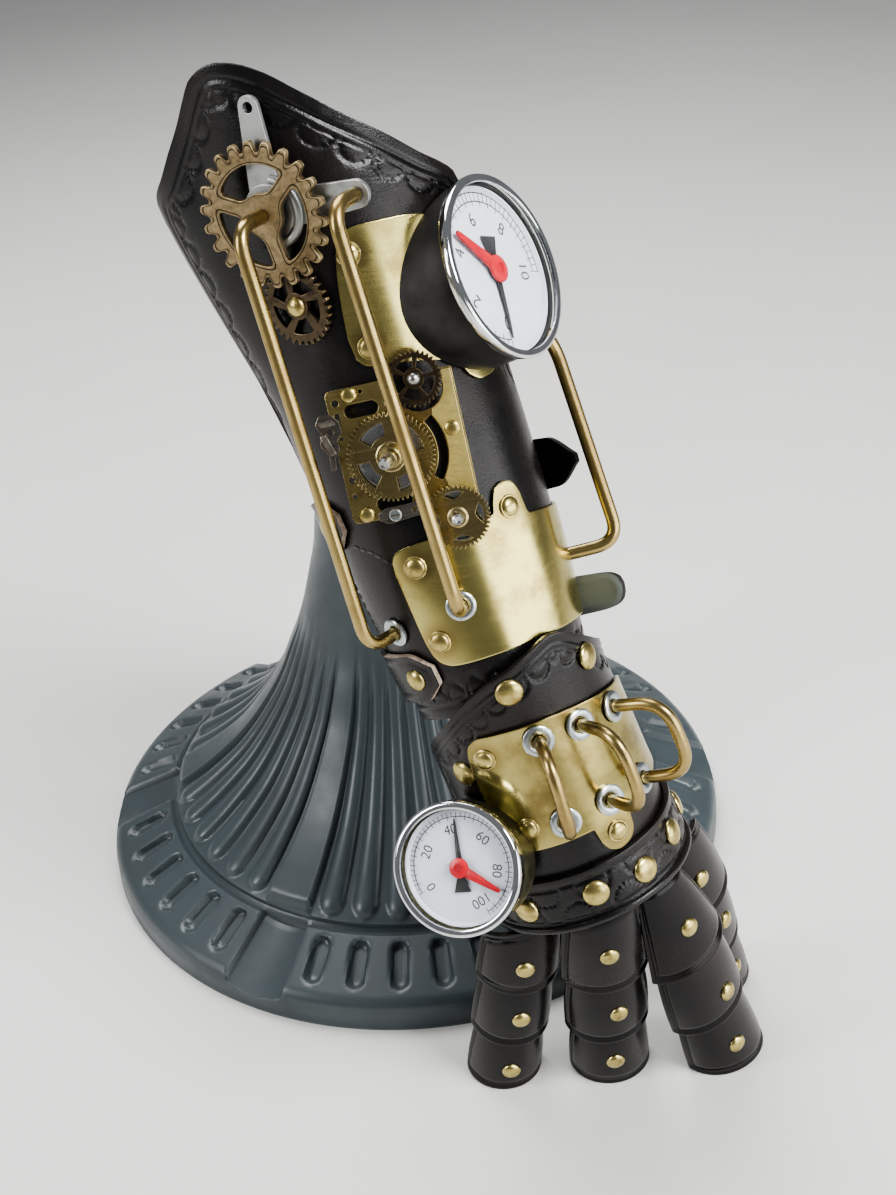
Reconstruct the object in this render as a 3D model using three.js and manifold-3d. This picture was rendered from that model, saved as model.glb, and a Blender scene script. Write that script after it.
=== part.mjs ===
// Steampunk gauntlet on a display stand: a leather forearm shell, a hand guard and finger lames
// that carry brass plates, tubes, gears, a clock movement and two dial gauges.
// Millimetres, +Z up. The origin is the middle of the stand's foot, and the gauntlet stands at -Y.
import * as THREE from 'three';
import { mergeVertices } from 'three/addons/utils/BufferGeometryUtils.js';
import Module from 'manifold-3d';

const wasm = await Module();
wasm.setup();

const { degToRad, lerp } = THREE.MathUtils;

// Shared thicknesses and clearances
const GAP = 0.3;
const LEATHER = 2.2;
const SHEET_BRASS = 0.9;
const PLATE_LIFT = 0.7;
const ON_PLATE = PLATE_LIFT + SHEET_BRASS + GAP;
const RIVET_SEGMENTS = 8;

// Where the forearm and the hand stand: the middle of the wrist and of the knuckles, and how they lean
const FOREARM = { middle: [40.5, -150, 183], recline: -22.8, lean: -17.3 };
const HAND = { middle: [70, -168.5, 98], recline: -11.7, lean: -18.2 };

// Outer radius of the forearm leather along its axis, and how far its left wing is pressed flat
const FOREARM_ROWS = [
  { along: -6, radius: 32.6, flat: 0 },
  { along: 0, radius: 33.2, flat: 0 },
  { along: 40, radius: 37.5, flat: 0 },
  { along: 80, radius: 40, flat: 0 },
  { along: 110, radius: 41.5, flat: 0.6 },
  { along: 125, radius: 44, flat: 2.5 },
  { along: 145, radius: 48, flat: 6 },
  { along: 175, radius: 53.5, flat: 8 },
  { along: 197, radius: 57, flat: 8 },
  { along: 225, radius: 62, flat: 8 },
];
const WING_FLAT = { angle: -36, spread: 26 };

// Cut edge of the forearm leather: a column for each angle round the arm, 0 at the front
const FOREARM_FOOT = -6;
const FOREARM_WALL_ROWS = 7;
const FOREARM_EDGE = [
  { angle: -124, high: 93 },
  { angle: -112, high: 97.5 },
  { angle: -101, high: 102.5 },
  { angle: -92, high: 108 },
  { angle: -84, high: 116 },
  { angle: -79, high: 128 },
  { angle: -76, high: 150 },
  { angle: -73, high: 178 },
  { angle: -70, high: 187 },
  { angle: -64, high: 193 },
  { angle: -53, high: 196.5 },
  { angle: -42, high: 201 },
  { angle: -32, high: 206.5 },
  { angle: -22, high: 213 },
  { angle: -16, high: 217 },
  { angle: -10, high: 219 },
  { angle: -4, high: 218 },
  { angle: 3, high: 213.5 },
  { angle: 13, high: 203.5 },
  { angle: 23, high: 194 },
  { angle: 36, high: 184 },
  { angle: 48, high: 175.7 },
  { angle: 57, high: 171.5 },
  { angle: 64, high: 168 },
  { angle: 68, high: 162 },
  { angle: 72, high: 147 },
  { angle: 76, high: 130 },
  { angle: 82, high: 117 },
  { angle: 92, high: 107 },
  { angle: 102, high: 101.5 },
  { angle: 113, high: 97 },
  { angle: 124, high: 93 },
].map((column) => ({ low: FOREARM_FOOT, ...column }));

// Outer radius of the hand leather along its axis, and the cut edge of the hand guard
const HAND_ROWS = [
  { along: -10, radius: 37, flat: 0 },
  { along: 24, radius: 37, flat: 0 },
  { along: 50, radius: 36.2, flat: 0 },
  { along: 76, radius: 36, flat: 0 },
  { along: 92, radius: 36.6, flat: 0 },
  { along: 112, radius: 38, flat: 0 },
];
const HAND_GUARD_FOOT = 10;
const HAND_GUARD_WALL_ROWS = 4;
const HAND_GUARD_EDGE = [
  { angle: -80, high: 64 },
  { angle: -76, high: 73 },
  { angle: -60, high: 81 },
  { angle: -40, high: 89 },
  { angle: -22, high: 96.5 },
  { angle: -6, high: 101.5 },
  { angle: 10, high: 104.5 },
  { angle: 26, high: 107.4 },
  { angle: 38, high: 109 },
  { angle: 46, high: 107.5 },
  { angle: 62, high: 100.5 },
  { angle: 80, high: 93 },
  { angle: 96, high: 88 },
  { angle: 112, high: 80 },
  { angle: 118, high: 72 },
].map((column) => ({ low: HAND_GUARD_FOOT, ...column }));

// Knuckle band round the lower end of the hand guard
const BAND = { from: -100, to: 125, columns: 17, rows: 2, low: 3, high: 24 };
const BAND_ROWS = [
  { along: 0, radius: 40.6, flat: 0 },
  { along: 24, radius: 39.7, flat: 0 },
];

// Fingers: the middle of each finger's root and of its foot, the way its front faces, and how far
// round its lames reach at the root, in degrees each way
const FINGERS = [
  { root: [43.5, -182.5, 108], foot: [32.3, -169.5, 0], facing: 6, rootWrap: 62 },
  { root: [69, -190.7, 114], foot: [75.8, -170.5, 0], facing: 8, rootWrap: 52 },
  { root: [90.4, -179.4, 116], foot: [119.5, -169.5, 0], facing: 36, rootWrap: 44 },
  { root: [98, -161.5, 116], foot: [121, -129, 0], facing: 62, rootWrap: 44 },
];
// Each lame hangs over the one below: share of the finger's length, and its radius at both ends
const LAMES = [
  { low: 0.6, high: 1, lowRadius: 17.2, highRadius: 14.8 },
  { low: 0.29, high: 0.66, lowRadius: 16, highRadius: 14 },
  { low: -0.08, high: 0.35, lowRadius: 15.2, highRadius: 13 },
];
const LAME_FOOT_WRAP = 96;
const LAME_COLUMNS = 8;

// Straps round the open back: a pointed end at the left, and a tail that leaves the arm at the right
const STRAP = { thickness: 2, halfWidth: 9, leave: -222, step: 13 };
const STRAPS = {
  upper: { along: 71, tailAlong: 62, start: -48.5, tail: 33, tipHalfWidth: 1.5, tipLength: 12 },
  lower: { along: 11, tailAlong: 13, start: -26.8, tail: 38, tipHalfWidth: 5.5, tipLength: 5 },
};
const STRAP_POINT = { halfWidth: 3.5, length: 9 };
const KEEPER = { angle: -205, wall: 1.6, length: 7, slack: 0.5 };

// Brass plates bent round the leather: a column for each angle
const WRIST_PLATE = [
  { angle: -25, low: 23, high: 49 },
  { angle: -24, low: 18.5, high: 53 },
  { angle: -20.5, low: 14.8, high: 56 },
  { angle: -14, low: 12.8, high: 57 },
  { angle: -3, low: 12.2, high: 57 },
  { angle: 9, low: 12, high: 57 },
  { angle: 21, low: 11.8, high: 57 },
  { angle: 32, low: 11.6, high: 57 },
  { angle: 34, low: 11.5, high: 61 },
  { angle: 37.5, low: 11.4, high: 65 },
  { angle: 43, low: 11.3, high: 66.3 },
  { angle: 48, low: 11.2, high: 65.2 },
  { angle: 51, low: 11.1, high: 61 },
  { angle: 52.5, low: 11, high: 53 },
  { angle: 64, low: 10.8, high: 51.8 },
  { angle: 76, low: 10.5, high: 51 },
  { angle: 88, low: 10.3, high: 50.4 },
  { angle: 100, low: 10.2, high: 50 },
  { angle: 112, low: 10.2, high: 50 },
];
const WRIST_RIVETS = [
  { angle: 42, along: 57.5 },
  { angle: -13, along: 49.6 },
  { angle: -16.5, along: 22.4 },
];
const HAND_PLATE = [
  { angle: -31, low: 45, high: 71 },
  { angle: -29.5, low: 40.5, high: 77.5 },
  { angle: -26, low: 37.5, high: 81.8 },
  { angle: -19, low: 36.5, high: 84 },
  { angle: -6, low: 36.5, high: 84 },
  { angle: 7, low: 36.5, high: 83.6 },
  { angle: 20, low: 36.5, high: 83 },
  { angle: 21.5, low: 30, high: 82.9 },
  { angle: 25, low: 26.4, high: 82.5 },
  { angle: 31, low: 24.9, high: 82 },
  { angle: 37, low: 25.8, high: 81.3 },
  { angle: 42, low: 29, high: 80.7 },
  { angle: 44, low: 36.5, high: 80.4 },
  { angle: 57, low: 36.6, high: 78.6 },
  { angle: 70, low: 36.7, high: 76.6 },
  { angle: 83, low: 36.8, high: 74.4 },
  { angle: 97, low: 37, high: 72 },
];
const HAND_RIVETS = [
  { angle: -20, along: 75.6 },
  { angle: 32, along: 31.5 },
];
const GAUGE_PLATE = [
  { angle: -2.5, low: 121, high: 128 },
  { angle: 0, low: 118.4, high: 138 },
  { angle: 3, low: 117.3, high: 148 },
  { angle: 6, low: 116.6, high: 155.5 },
  { angle: 9.5, low: 116, high: 159.4 },
  { angle: 14, low: 115.4, high: 160.4 },
  { angle: 24, low: 113.4, high: 159.6 },
  { angle: 34, low: 111, high: 158.6 },
  { angle: 42, low: 107, high: 157 },
  { angle: 45, low: 103.4, high: 156 },
  { angle: 51, low: 101, high: 154 },
  { angle: 58, low: 101.4, high: 152 },
  { angle: 64, low: 104.5, high: 150 },
  { angle: 66, low: 108, high: 148 },
];
const GAUGE_PLATE_RIVETS = [
  { angle: 9.6, along: 153 },
  { angle: 4.8, along: 123.3 },
];
const PLATE_WALL_ROWS = 2;
const PLATE_RIVET = { radius: 3.3, head: 1.6, shank: 0.6 };
const RIVET_DOME = { edge: 0.3, shoulder: 0.72, rise: 0.82 };

// Dial gauges: sizes behind the front of the bezel, and the rest angles of the pointers
const UPPER_GAUGE = {
  radius: 31.5, caseRadius: 30.2, depth: 31, bezelDepth: 3.4, well: 7, black: -100, red: 138,
  angle: 62, along: 132.6, front: 60.6,
};
const LOWER_GAUGE = {
  radius: 23.9, caseRadius: 22.6, depth: 20, bezelDepth: 5, well: 6.6, black: 83, red: -39.4,
  front: [-35.2, -49.9, 46.5], normal: [-0.206, -0.884, 0.42], stemRadius: 6, stemLength: 14,
};
const GAUGE = {
  segments: 20, caseWall: 1.6, bezelWall: 1.2, lip: 1.6, chamfer: 0.5, lens: 1, lensInset: 0.9, dial: 0.8,
};
const POINTER = { reach: 0.7, hub: 0.11, halfWidth: 0.034, tip: 0.4, counter: 2 };
const POINTERS = {
  black: { lift: 0.4, thickness: 0.6, tail: 0.3 },
  red: { lift: 1.3, thickness: 0.9, tail: 0.116 },
};

// Elbow works on the flat of the wing
const ELBOW_GEAR = {
  angle: -11, along: 174, lift: 4.4, thickness: 2.4, teeth: 22, root: 21.6, tip: 24.8,
  rim: 16.8, hub: 7.2, windows: 3, arm: 30, turn: 20,
};
const CRANK = { lift: 0.6, thickness: 2, boss: 9, waist: 5.4, eye: 4.6, post: 4 };
const CRANK_UP = { reach: 32.7, turn: 74.5 };
const CRANK_SIDE = { reach: 33.3, turn: -8.2 };
const SMALL_GEAR = {
  angle: -17.2, along: 143.9, lift: 0.8, thickness: 1.8, teeth: 22, root: 11.6, tip: 13.2,
  rim: 9, hub: 3.4, windows: 5, arm: 24, turn: 8,
};

// Clock movement: a flat plate on the front of the forearm, turned a little, with three wheels
const CLOCK = { along: 89.4, shift: 1.8, lift: 0.8, turn: -8, width: 43, height: 45, thickness: 1.3 };
const CLOCK_SLOTS = [
  { x: -10.5, y: 14.6, length: 11.5, width: 4.6 },
  { x: -6.5, y: -17.6, length: 12, width: 4.6 },
];
const CLOCK_CRESCENT = { inner: 15.6, outer: 18.6, from: -38, to: 34 };
const CLOCK_RECESS = 11.6;
const CLOCK_RIVETS = [
  { x: -13.5, y: 20 },
  { x: 17.6, y: 2.5 },
  { x: -16.5, y: -20 },
];
const CLOCK_RIVET = { radius: 2.6, head: 1.2, shank: 0.5 };
const CLOCK_WHEELS = {
  big_wheel: {
    x: -3.9, y: -2.3, lift: 3.4, thickness: 1.4, teeth: 32, root: 13.7, tip: 14.8,
    rim: 11.6, hub: 6, windows: 4, arm: 38, turn: 72, arborRadius: 2.2, arborTop: 10.5,
  },
  small_wheel: {
    x: 13.4, y: -26.3, lift: 3.6, thickness: 1.4, teeth: 22, root: 9.6, tip: 10.8,
    rim: 8.2, hub: 5.6, windows: 3, arm: 66, turn: 90, arborRadius: 2.3, arborTop: 5.5,
  },
  spoked_wheel: {
    x: 9, y: 20.9, lift: 2.4, thickness: 1.4, teeth: 22, root: 10.2, tip: 11.4,
    rim: 8.8, hub: 2.8, windows: 4, arm: 20, turn: 30, arborRadius: 2, arborTop: 5,
  },
};
const ARBOR = { segments: 8, taper: 0.6, tip: 1 };
const STEEL_BRACKET = { x: -4.5, y: -21.4, width: 17, height: 6.4, thickness: 1.2 };
const STEEL_CLICK = { x: -23.9, y: 7.5, width: 4.2, height: 17, thickness: 1.4 };

// Brass tubes: a round rod that leaves its seat, bends, runs straight, bends and goes in again
const TUBE = { radius: 2.4, sides: 7, bend: 9, steps: 16 };
const LEFT_TUBE = { lift: 15, washer: { angle: -43.5, along: 29 }, footLift: 14 };
const MIDDLE_TUBE = { lift: 15, washer: { angle: 1.5, along: 32.3 }, footLift: 14 };
const RIGHT_TUBE = { angle: 94, low: 31, high: 105, lift: 20, headLift: 17 };
const HAND_TUBE = { ...TUBE, radius: 2.3, bend: 12, steps: 14 };
const HAND_TUBES = [
  { top: { angle: 11.2, along: 76.8 }, foot: { angle: 7.8, along: 44 }, height: 26 },
  { top: { angle: 35.4, along: 74.6 }, foot: { angle: 34.6, along: 43.5 }, height: 26 },
  { top: { angle: 62, along: 71 }, foot: { angle: 62, along: 40.6 }, height: 23 },
];
const WASHER = { radius: 6.4, thickness: 1.2, segments: 9 };

// Stand: a bell foot, with a plain post and cross bar behind the forearm
const STAND_ROWS = [
  { radius: 149, height: 0 },
  { radius: 149, height: 5 },
  { radius: 146.5, height: 11 },
  { radius: 142, height: 15.5 },
  { radius: 119, height: 26 },
  { radius: 114, height: 30 },
  { radius: 97, height: 41 },
  { radius: 80, height: 55 },
  { radius: 65, height: 74 },
  { radius: 54, height: 93 },
  { radius: 45.5, height: 117 },
  { radius: 38, height: 143 },
  { radius: 34, height: 160 },
  { radius: 30, height: 200 },
];
const STAND_SEGMENTS = 36;
const POST = { radius: 8, bend: 20, knee: 232, sides: 8, steps: 8 };
const CROSS_BAR = { along: 84, radius: 6, length: 70, sides: 10 };

const FINISHES = {
  slate: { color: 0x3f4a4b, roughness: 0.6, metalness: 0 },
  leather: { color: 0x1c1715, roughness: 0.5, metalness: 0 },
  brass: { color: 0xc2a350, roughness: 0.3, metalness: 1 },
  bronze: { color: 0x8a6a3c, roughness: 0.45, metalness: 1 },
  dark_bronze: { color: 0x3d342b, roughness: 0.5, metalness: 1 },
  steel: { color: 0xaeb2b6, roughness: 0.35, metalness: 1 },
  chrome: { color: 0xd8dadc, roughness: 0.12, metalness: 1 },
  black_case: { color: 0x121212, roughness: 0.5, metalness: 0 },
  dial_white: { color: 0xe9ebee, roughness: 0.6, metalness: 0 },
  pointer_black: { color: 0x161616, roughness: 0.5, metalness: 0 },
  pointer_red: { color: 0xd2232f, roughness: 0.4, metalness: 0 },
  clear: { color: 0xf4f7f8, roughness: 0.05, metalness: 0, transparent: true, opacity: 0.2 },
};

const gauntlet = new THREE.Group();
const forearm = placed(FOREARM);
const hand = placed(HAND);
gauntlet.add(forearm, hand);

// Scene graph helpers

function placed({ middle, recline, lean }) {
  const group = new THREE.Group();
  group.position.set(...middle);
  group.rotation.set(degToRad(recline), degToRad(lean), 0, 'YXZ');
  group.updateMatrixWorld(true);
  return group;
}

function addPiece(parent, name, geometry, finish) {
  const mesh = new THREE.Mesh(geometry, new THREE.MeshStandardMaterial(FINISHES[finish]));
  mesh.name = name;
  parent.add(mesh);
  return mesh;
}

// Booleans on closed meshes

function solidOf(geometry) {
  const bare = geometry.index ? geometry.toNonIndexed() : geometry.clone();
  bare.deleteAttribute('normal');
  bare.deleteAttribute('uv');
  const merged = mergeVertices(bare, 1e-4);
  const corners = merged.index.array;
  const triVerts = [];
  for (let i = 0; i < corners.length; i += 3) {
    const [a, b, c] = corners.slice(i, i + 3);
    if (a !== b && b !== c && c !== a) triVerts.push(a, b, c);
  }
  const vertProperties = merged.attributes.position.array;
  const mesh = new wasm.Mesh({ numProp: 3, vertProperties, triVerts: new Uint32Array(triVerts) });
  return new wasm.Manifold(mesh);
}

function geometryOf(solid) {
  const { vertProperties, triVerts } = solid.getMesh();
  const geometry = new THREE.BufferGeometry();
  geometry.setAttribute('position', new THREE.BufferAttribute(new Float32Array(vertProperties), 3));
  return geometry.setIndex(new THREE.BufferAttribute(new Uint32Array(triVerts), 1));
}

function joined(first, ...others) {
  const sum = others.reduce((solid, geometry) => solid.add(solidOf(geometry)), solidOf(first));
  return geometryOf(sum);
}

function cut(geometry, ...tools) {
  const rest = tools.reduce((solid, tool) => solid.subtract(solidOf(tool)), solidOf(geometry));
  return geometryOf(rest);
}

// Curved surfaces: a point for an angle round an axis and a place along it, lifted off along the normal

function lookUp(rows, along, field) {
  const last = rows.length - 1;
  let i = 0;
  while (i < last - 1 && along > rows[i + 1].along) i += 1;
  const share = (along - rows[i].along) / (rows[i + 1].along - rows[i].along);
  return lerp(rows[i][field], rows[i + 1][field], share);
}

function roundSurface(rows) {
  return (angle, along) => {
    const press = Math.exp(-(((angle - WING_FLAT.angle) / WING_FLAT.spread) ** 2));
    const radius = lookUp(rows, along, 'radius') - lookUp(rows, along, 'flat') * press;
    const turn = degToRad(angle);
    return new THREE.Vector3(radius * Math.sin(turn), -radius * Math.cos(turn), along);
  };
}

// Axes on a surface: x round the arm, y along it and z out of it
function seat(surface, { angle, along }, lift = 0) {
  const step = 0.5;
  const point = surface(angle, along);
  const round = surface(angle + step, along).sub(surface(angle - step, along));
  const up = surface(angle, along + step).sub(surface(angle, along - step));
  const out = round.cross(up).normalize();
  const side = up.clone().cross(out).normalize();
  const matrix = new THREE.Matrix4().makeBasis(side, out.clone().cross(side), out);
  return matrix.setPosition(point.addScaledVector(out, lift));
}

function lifted(surface, place, lift) {
  return new THREE.Vector3().setFromMatrixPosition(seat(surface, place, lift));
}

// Columns of equal height, evenly spread
function evenColumns(from, to, count, low, high) {
  const columns = [];
  for (let i = 0; i <= count; i += 1) {
    columns.push({ angle: lerp(from, to, i / count), low, high });
  }
  return columns;
}

// A closed wall on a surface between two lifts, with a column of points for each angle
function wall(surface, columns, rows, inner, outer) {
  const points = [];
  const faces = [];
  const last = columns.length - 1;
  for (const lift of [inner, outer]) {
    for (const { angle, low, high } of columns) {
      for (let row = 0; row <= rows; row += 1) {
        points.push(lifted(surface, { angle, along: lerp(low, high, row / rows) }, lift));
      }
    }
  }
  const at = (side, column, row) => (side * columns.length + column) * (rows + 1) + row;
  const quad = (a, b, c, d) => faces.push(a, b, c, a, c, d);
  for (let column = 0; column < last; column += 1) {
    const next = column + 1;
    for (let row = 0; row < rows; row += 1) {
      quad(at(1, column, row), at(1, next, row), at(1, next, row + 1), at(1, column, row + 1));
      quad(at(0, column, row), at(0, column, row + 1), at(0, next, row + 1), at(0, next, row));
    }
    quad(at(0, column, 0), at(0, next, 0), at(1, next, 0), at(1, column, 0));
    quad(at(0, column, rows), at(1, column, rows), at(1, next, rows), at(0, next, rows));
  }
  for (let row = 0; row < rows; row += 1) {
    quad(at(0, 0, row), at(1, 0, row), at(1, 0, row + 1), at(0, 0, row + 1));
    quad(at(0, last, row), at(0, last, row + 1), at(1, last, row + 1), at(1, last, row));
  }
  const geometry = new THREE.BufferGeometry().setFromPoints(points);
  return geometry.setIndex(faces);
}

// Turned and flat pieces, with their axis along +Z

function turned(profile, segments) {
  const points = profile.map(([radius, height]) => new THREE.Vector2(radius, height));
  return new THREE.LatheGeometry(points, segments).rotateX(Math.PI / 2);
}

function cylinder(radius, low, high, segments) {
  return turned([[0, low], [radius, low], [radius, high], [0, high]], segments);
}

function rivet({ radius, head, shank }) {
  const { edge, shoulder, rise } = RIVET_DOME;
  const dome = [[radius, head * edge], [radius * shoulder, head * rise], [0, head]];
  return turned([[0, -shank], [radius, -shank], ...dome], RIVET_SEGMENTS);
}

function washer(bore) {
  const { radius, thickness, segments } = WASHER;
  const profile = [[bore, 0], [radius, 0], [radius, thickness], [bore, thickness], [bore, 0]];
  return turned(profile, segments);
}

function flat(shape, thickness, curveSegments = 4) {
  return new THREE.ExtrudeGeometry(shape, { depth: thickness, bevelEnabled: false, curveSegments });
}

function rectangle(x, y, width, height) {
  const shape = new THREE.Shape();
  shape.moveTo(x - width / 2, y - height / 2);
  shape.lineTo(x + width / 2, y - height / 2);
  shape.lineTo(x + width / 2, y + height / 2);
  shape.lineTo(x - width / 2, y + height / 2);
  return shape.closePath();
}

function slot({ x, y, length, width }) {
  const reach = (length - width) / 2;
  const path = new THREE.Shape();
  path.absarc(x + reach, y, width / 2, -Math.PI / 2, Math.PI / 2, false);
  path.absarc(x - reach, y, width / 2, Math.PI / 2, Math.PI * 1.5, false);
  return path;
}

function disc(x, y, radius) {
  return new THREE.Shape().absarc(x, y, radius, 0, Math.PI * 2, false);
}

function sector(x, y, { inner, outer, from, to }) {
  const path = new THREE.Shape();
  path.absarc(x, y, outer, degToRad(from), degToRad(to), false);
  path.absarc(x, y, inner, degToRad(to), degToRad(from), true);
  return path;
}

// Toothed wheel: teeth on a rim, with windows between the arms
function toothed({ teeth, root, tip, rim, hub, windows, arm, turn }, toothShape) {
  const outline = [];
  for (let tooth = 0; tooth < teeth; tooth += 1) {
    for (const { at, high } of toothShape) {
      const angle = ((tooth + at) / teeth) * Math.PI * 2;
      const radius = high ? tip : root;
      outline.push(new THREE.Vector2(radius * Math.cos(angle), radius * Math.sin(angle)));
    }
  }
  const shape = new THREE.Shape(outline);
  const span = 360 / windows;
  for (let window = 0; window < windows; window += 1) {
    const from = turn + window * span + arm / 2;
    shape.holes.push(sector(0, 0, { inner: hub, outer: rim, from, to: from + span - arm }));
  }
  return shape;
}

const POINTED_TOOTH = [
  { at: 0, high: false },
  { at: 0.5, high: true },
];
const SQUARE_TOOTH = [
  { at: 0, high: false },
  { at: 0.3, high: false },
  { at: 0.42, high: true },
  { at: 0.88, high: true },
];

// A round rod along straight stretches with rounded corners
function rod(points, { radius, sides, bend, steps }) {
  const path = new THREE.CurvePath();
  let from = points[0];
  for (let i = 1; i < points.length - 1; i += 1) {
    const corner = points[i];
    const into = corner.clone().sub(points[i - 1]).normalize();
    const away = points[i + 1].clone().sub(corner).normalize();
    const start = corner.clone().addScaledVector(into, -bend);
    const end = corner.clone().addScaledVector(away, bend);
    path.add(new THREE.LineCurve3(from, start));
    path.add(new THREE.QuadraticBezierCurve3(start, corner, end));
    from = end;
  }
  path.add(new THREE.LineCurve3(from, points[points.length - 1]));
  const section = [];
  for (let side = 0; side < sides; side += 1) {
    const angle = (side / sides) * Math.PI * 2;
    section.push(new THREE.Vector2(radius * Math.cos(angle), radius * Math.sin(angle)));
  }
  const shape = new THREE.Shape(section);
  return new THREE.ExtrudeGeometry(shape, { extrudePath: path, steps, bevelEnabled: false });
}

// Leather

const forearmSurface = roundSurface(FOREARM_ROWS);
const handSurface = roundSurface(HAND_ROWS);
const bandSurface = roundSurface(BAND_ROWS);

function addLeather() {
  const shell = wall(forearmSurface, FOREARM_EDGE, FOREARM_WALL_ROWS, -LEATHER, 0);
  addPiece(forearm, 'forearm_shell', shell, 'leather');
  const guard = wall(handSurface, HAND_GUARD_EDGE, HAND_GUARD_WALL_ROWS, -LEATHER, 0);
  addPiece(hand, 'hand_guard', guard, 'leather');
  const columns = evenColumns(BAND.from, BAND.to, BAND.columns, BAND.low, BAND.high);
  addPiece(hand, 'knuckle_band', wall(bandSurface, columns, BAND.rows, -LEATHER, 0), 'leather');
}

// Lames of one finger, in a frame that stands on the finger's foot with its front at -Y.
// The top lame is trimmed to the knuckle band and the bottom one to the floor.
function addFinger({ root, foot, facing, rootWrap }, number) {
  const group = new THREE.Group();
  const base = new THREE.Vector3(...foot);
  const up = new THREE.Vector3(...root).sub(base);
  const length = up.length();
  up.normalize();
  const back = new THREE.Vector3(-Math.sin(degToRad(facing)), Math.cos(degToRad(facing)), 0);
  const side = back.clone().cross(up).normalize();
  group.applyMatrix4(new THREE.Matrix4().makeBasis(side, up.clone().cross(side), up).setPosition(base));
  group.updateMatrixWorld(true);
  gauntlet.add(group);
  const toFinger = group.matrixWorld.clone().invert();
  const block = 2 * length;
  const floor = new THREE.BoxGeometry(block, block, block).translate(foot[0], foot[1], -length);
  floor.applyMatrix4(toFinger);
  const above = new THREE.BoxGeometry(block, block, block).translate(0, 0, BAND.low - 2 * GAP + length);
  above.applyMatrix4(hand.matrixWorld).applyMatrix4(toFinger);
  LAMES.forEach(({ low, high, lowRadius, highRadius }, index) => {
    const rows = [
      { along: low * length, radius: lowRadius, flat: 0 },
      { along: high * length, radius: highRadius, flat: 0 },
    ];
    const round = roundSurface(rows);
    const narrowed = (angle, along) => {
      const wrap = lerp(LAME_FOOT_WRAP, rootWrap, along / length);
      return round((angle * wrap) / LAME_FOOT_WRAP, along);
    };
    const columns = evenColumns(-LAME_FOOT_WRAP, LAME_FOOT_WRAP, LAME_COLUMNS, low * length, high * length);
    const lame = cut(wall(narrowed, columns, 1, -LEATHER, 0), floor, above);
    addPiece(group, `finger_${number}_lame_${index + 1}`, lame, 'leather');
  });
}

// A strap lies on the arm round the back, then leaves it in a straight tail
function strapSurface(angle, place) {
  const radius = lookUp(FOREARM_ROWS, place, 'radius') + PLATE_LIFT;
  const held = degToRad(Math.max(angle, STRAP.leave));
  const free = degToRad(Math.min(angle - STRAP.leave, 0)) * radius;
  const x = radius * Math.sin(held) + free * Math.cos(held);
  const y = -radius * Math.cos(held) + free * Math.sin(held);
  return new THREE.Vector3(x, y, place);
}

function addStrap(name, { along, tailAlong, start, tail, tipHalfWidth, tipLength }) {
  const perDegree = degToRad(1) * lookUp(FOREARM_ROWS, along, 'radius');
  const end = STRAP.leave - tail / perDegree;
  const widths = [
    { angle: end, half: tipHalfWidth },
    { angle: end + tipLength / perDegree, half: STRAP.halfWidth },
  ];
  for (let angle = STRAP.leave; angle < start - STRAP.step; angle += STRAP.step) {
    widths.push({ angle, half: STRAP.halfWidth });
  }
  widths.push({ angle: start - STRAP_POINT.length / perDegree, half: STRAP.halfWidth });
  widths.push({ angle: start, half: STRAP_POINT.halfWidth });
  const middleAt = (angle) => lerp(tailAlong, along, (angle - end) / (start - end));
  const columns = widths.map(({ angle, half }) => {
    const middle = middleAt(angle);
    return { angle, low: middle - half, high: middle + half };
  });
  addPiece(forearm, `${name}_strap`, wall(strapSurface, columns, 1, 0, STRAP.thickness), 'leather');
  const { wall: thick, length, slack } = KEEPER;
  const innerWidth = 2 * (STRAP.halfWidth + slack);
  const innerDepth = STRAP.thickness + 2 * slack;
  const loop = rectangle(0, 0, innerDepth + 2 * thick, innerWidth + 2 * thick);
  loop.holes.push(rectangle(0, 0, innerDepth, innerWidth));
  const keeper = flat(loop, length).translate(0, 0, -length / 2).rotateY(Math.PI / 2);
  const middle = { angle: KEEPER.angle, along: middleAt(KEEPER.angle) };
  const place = seat(strapSurface, middle, STRAP.thickness / 2);
  addPiece(forearm, `${name}_keeper`, keeper.applyMatrix4(place), 'brass');
}

// Brass plates with their rivets

function riveted(surface, columns, rivets) {
  const top = PLATE_LIFT + SHEET_BRASS;
  const plate = wall(surface, columns, PLATE_WALL_ROWS, PLATE_LIFT, top);
  const heads = rivets.map((place) => rivet(PLATE_RIVET).applyMatrix4(seat(surface, place, top)));
  return joined(plate, ...heads);
}

function addPlates() {
  addPiece(forearm, 'wrist_plate', riveted(forearmSurface, WRIST_PLATE, WRIST_RIVETS), 'brass');
  addPiece(hand, 'hand_plate', riveted(handSurface, HAND_PLATE, HAND_RIVETS), 'brass');
  addPiece(forearm, 'gauge_plate', riveted(forearmSurface, GAUGE_PLATE, GAUGE_PLATE_RIVETS), 'brass');
}

// Gauges, in a frame with the front of the bezel at z = 0

function pointerShape(radius, tail) {
  const half = radius * POINTER.halfWidth;
  const hub = radius * POINTER.hub;
  const hubAngle = Math.asin(half / hub);
  const shape = new THREE.Shape();
  shape.absarc(0, 0, hub, hubAngle, Math.PI - hubAngle, false);
  shape.lineTo(-radius * tail, half * POINTER.counter);
  shape.lineTo(-radius * tail, -half * POINTER.counter);
  shape.absarc(0, 0, hub, Math.PI + hubAngle, Math.PI * 2 - hubAngle, false);
  shape.lineTo(radius * POINTER.reach, -half * POINTER.tip);
  shape.lineTo(radius * POINTER.reach, half * POINTER.tip);
  return shape;
}

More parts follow.
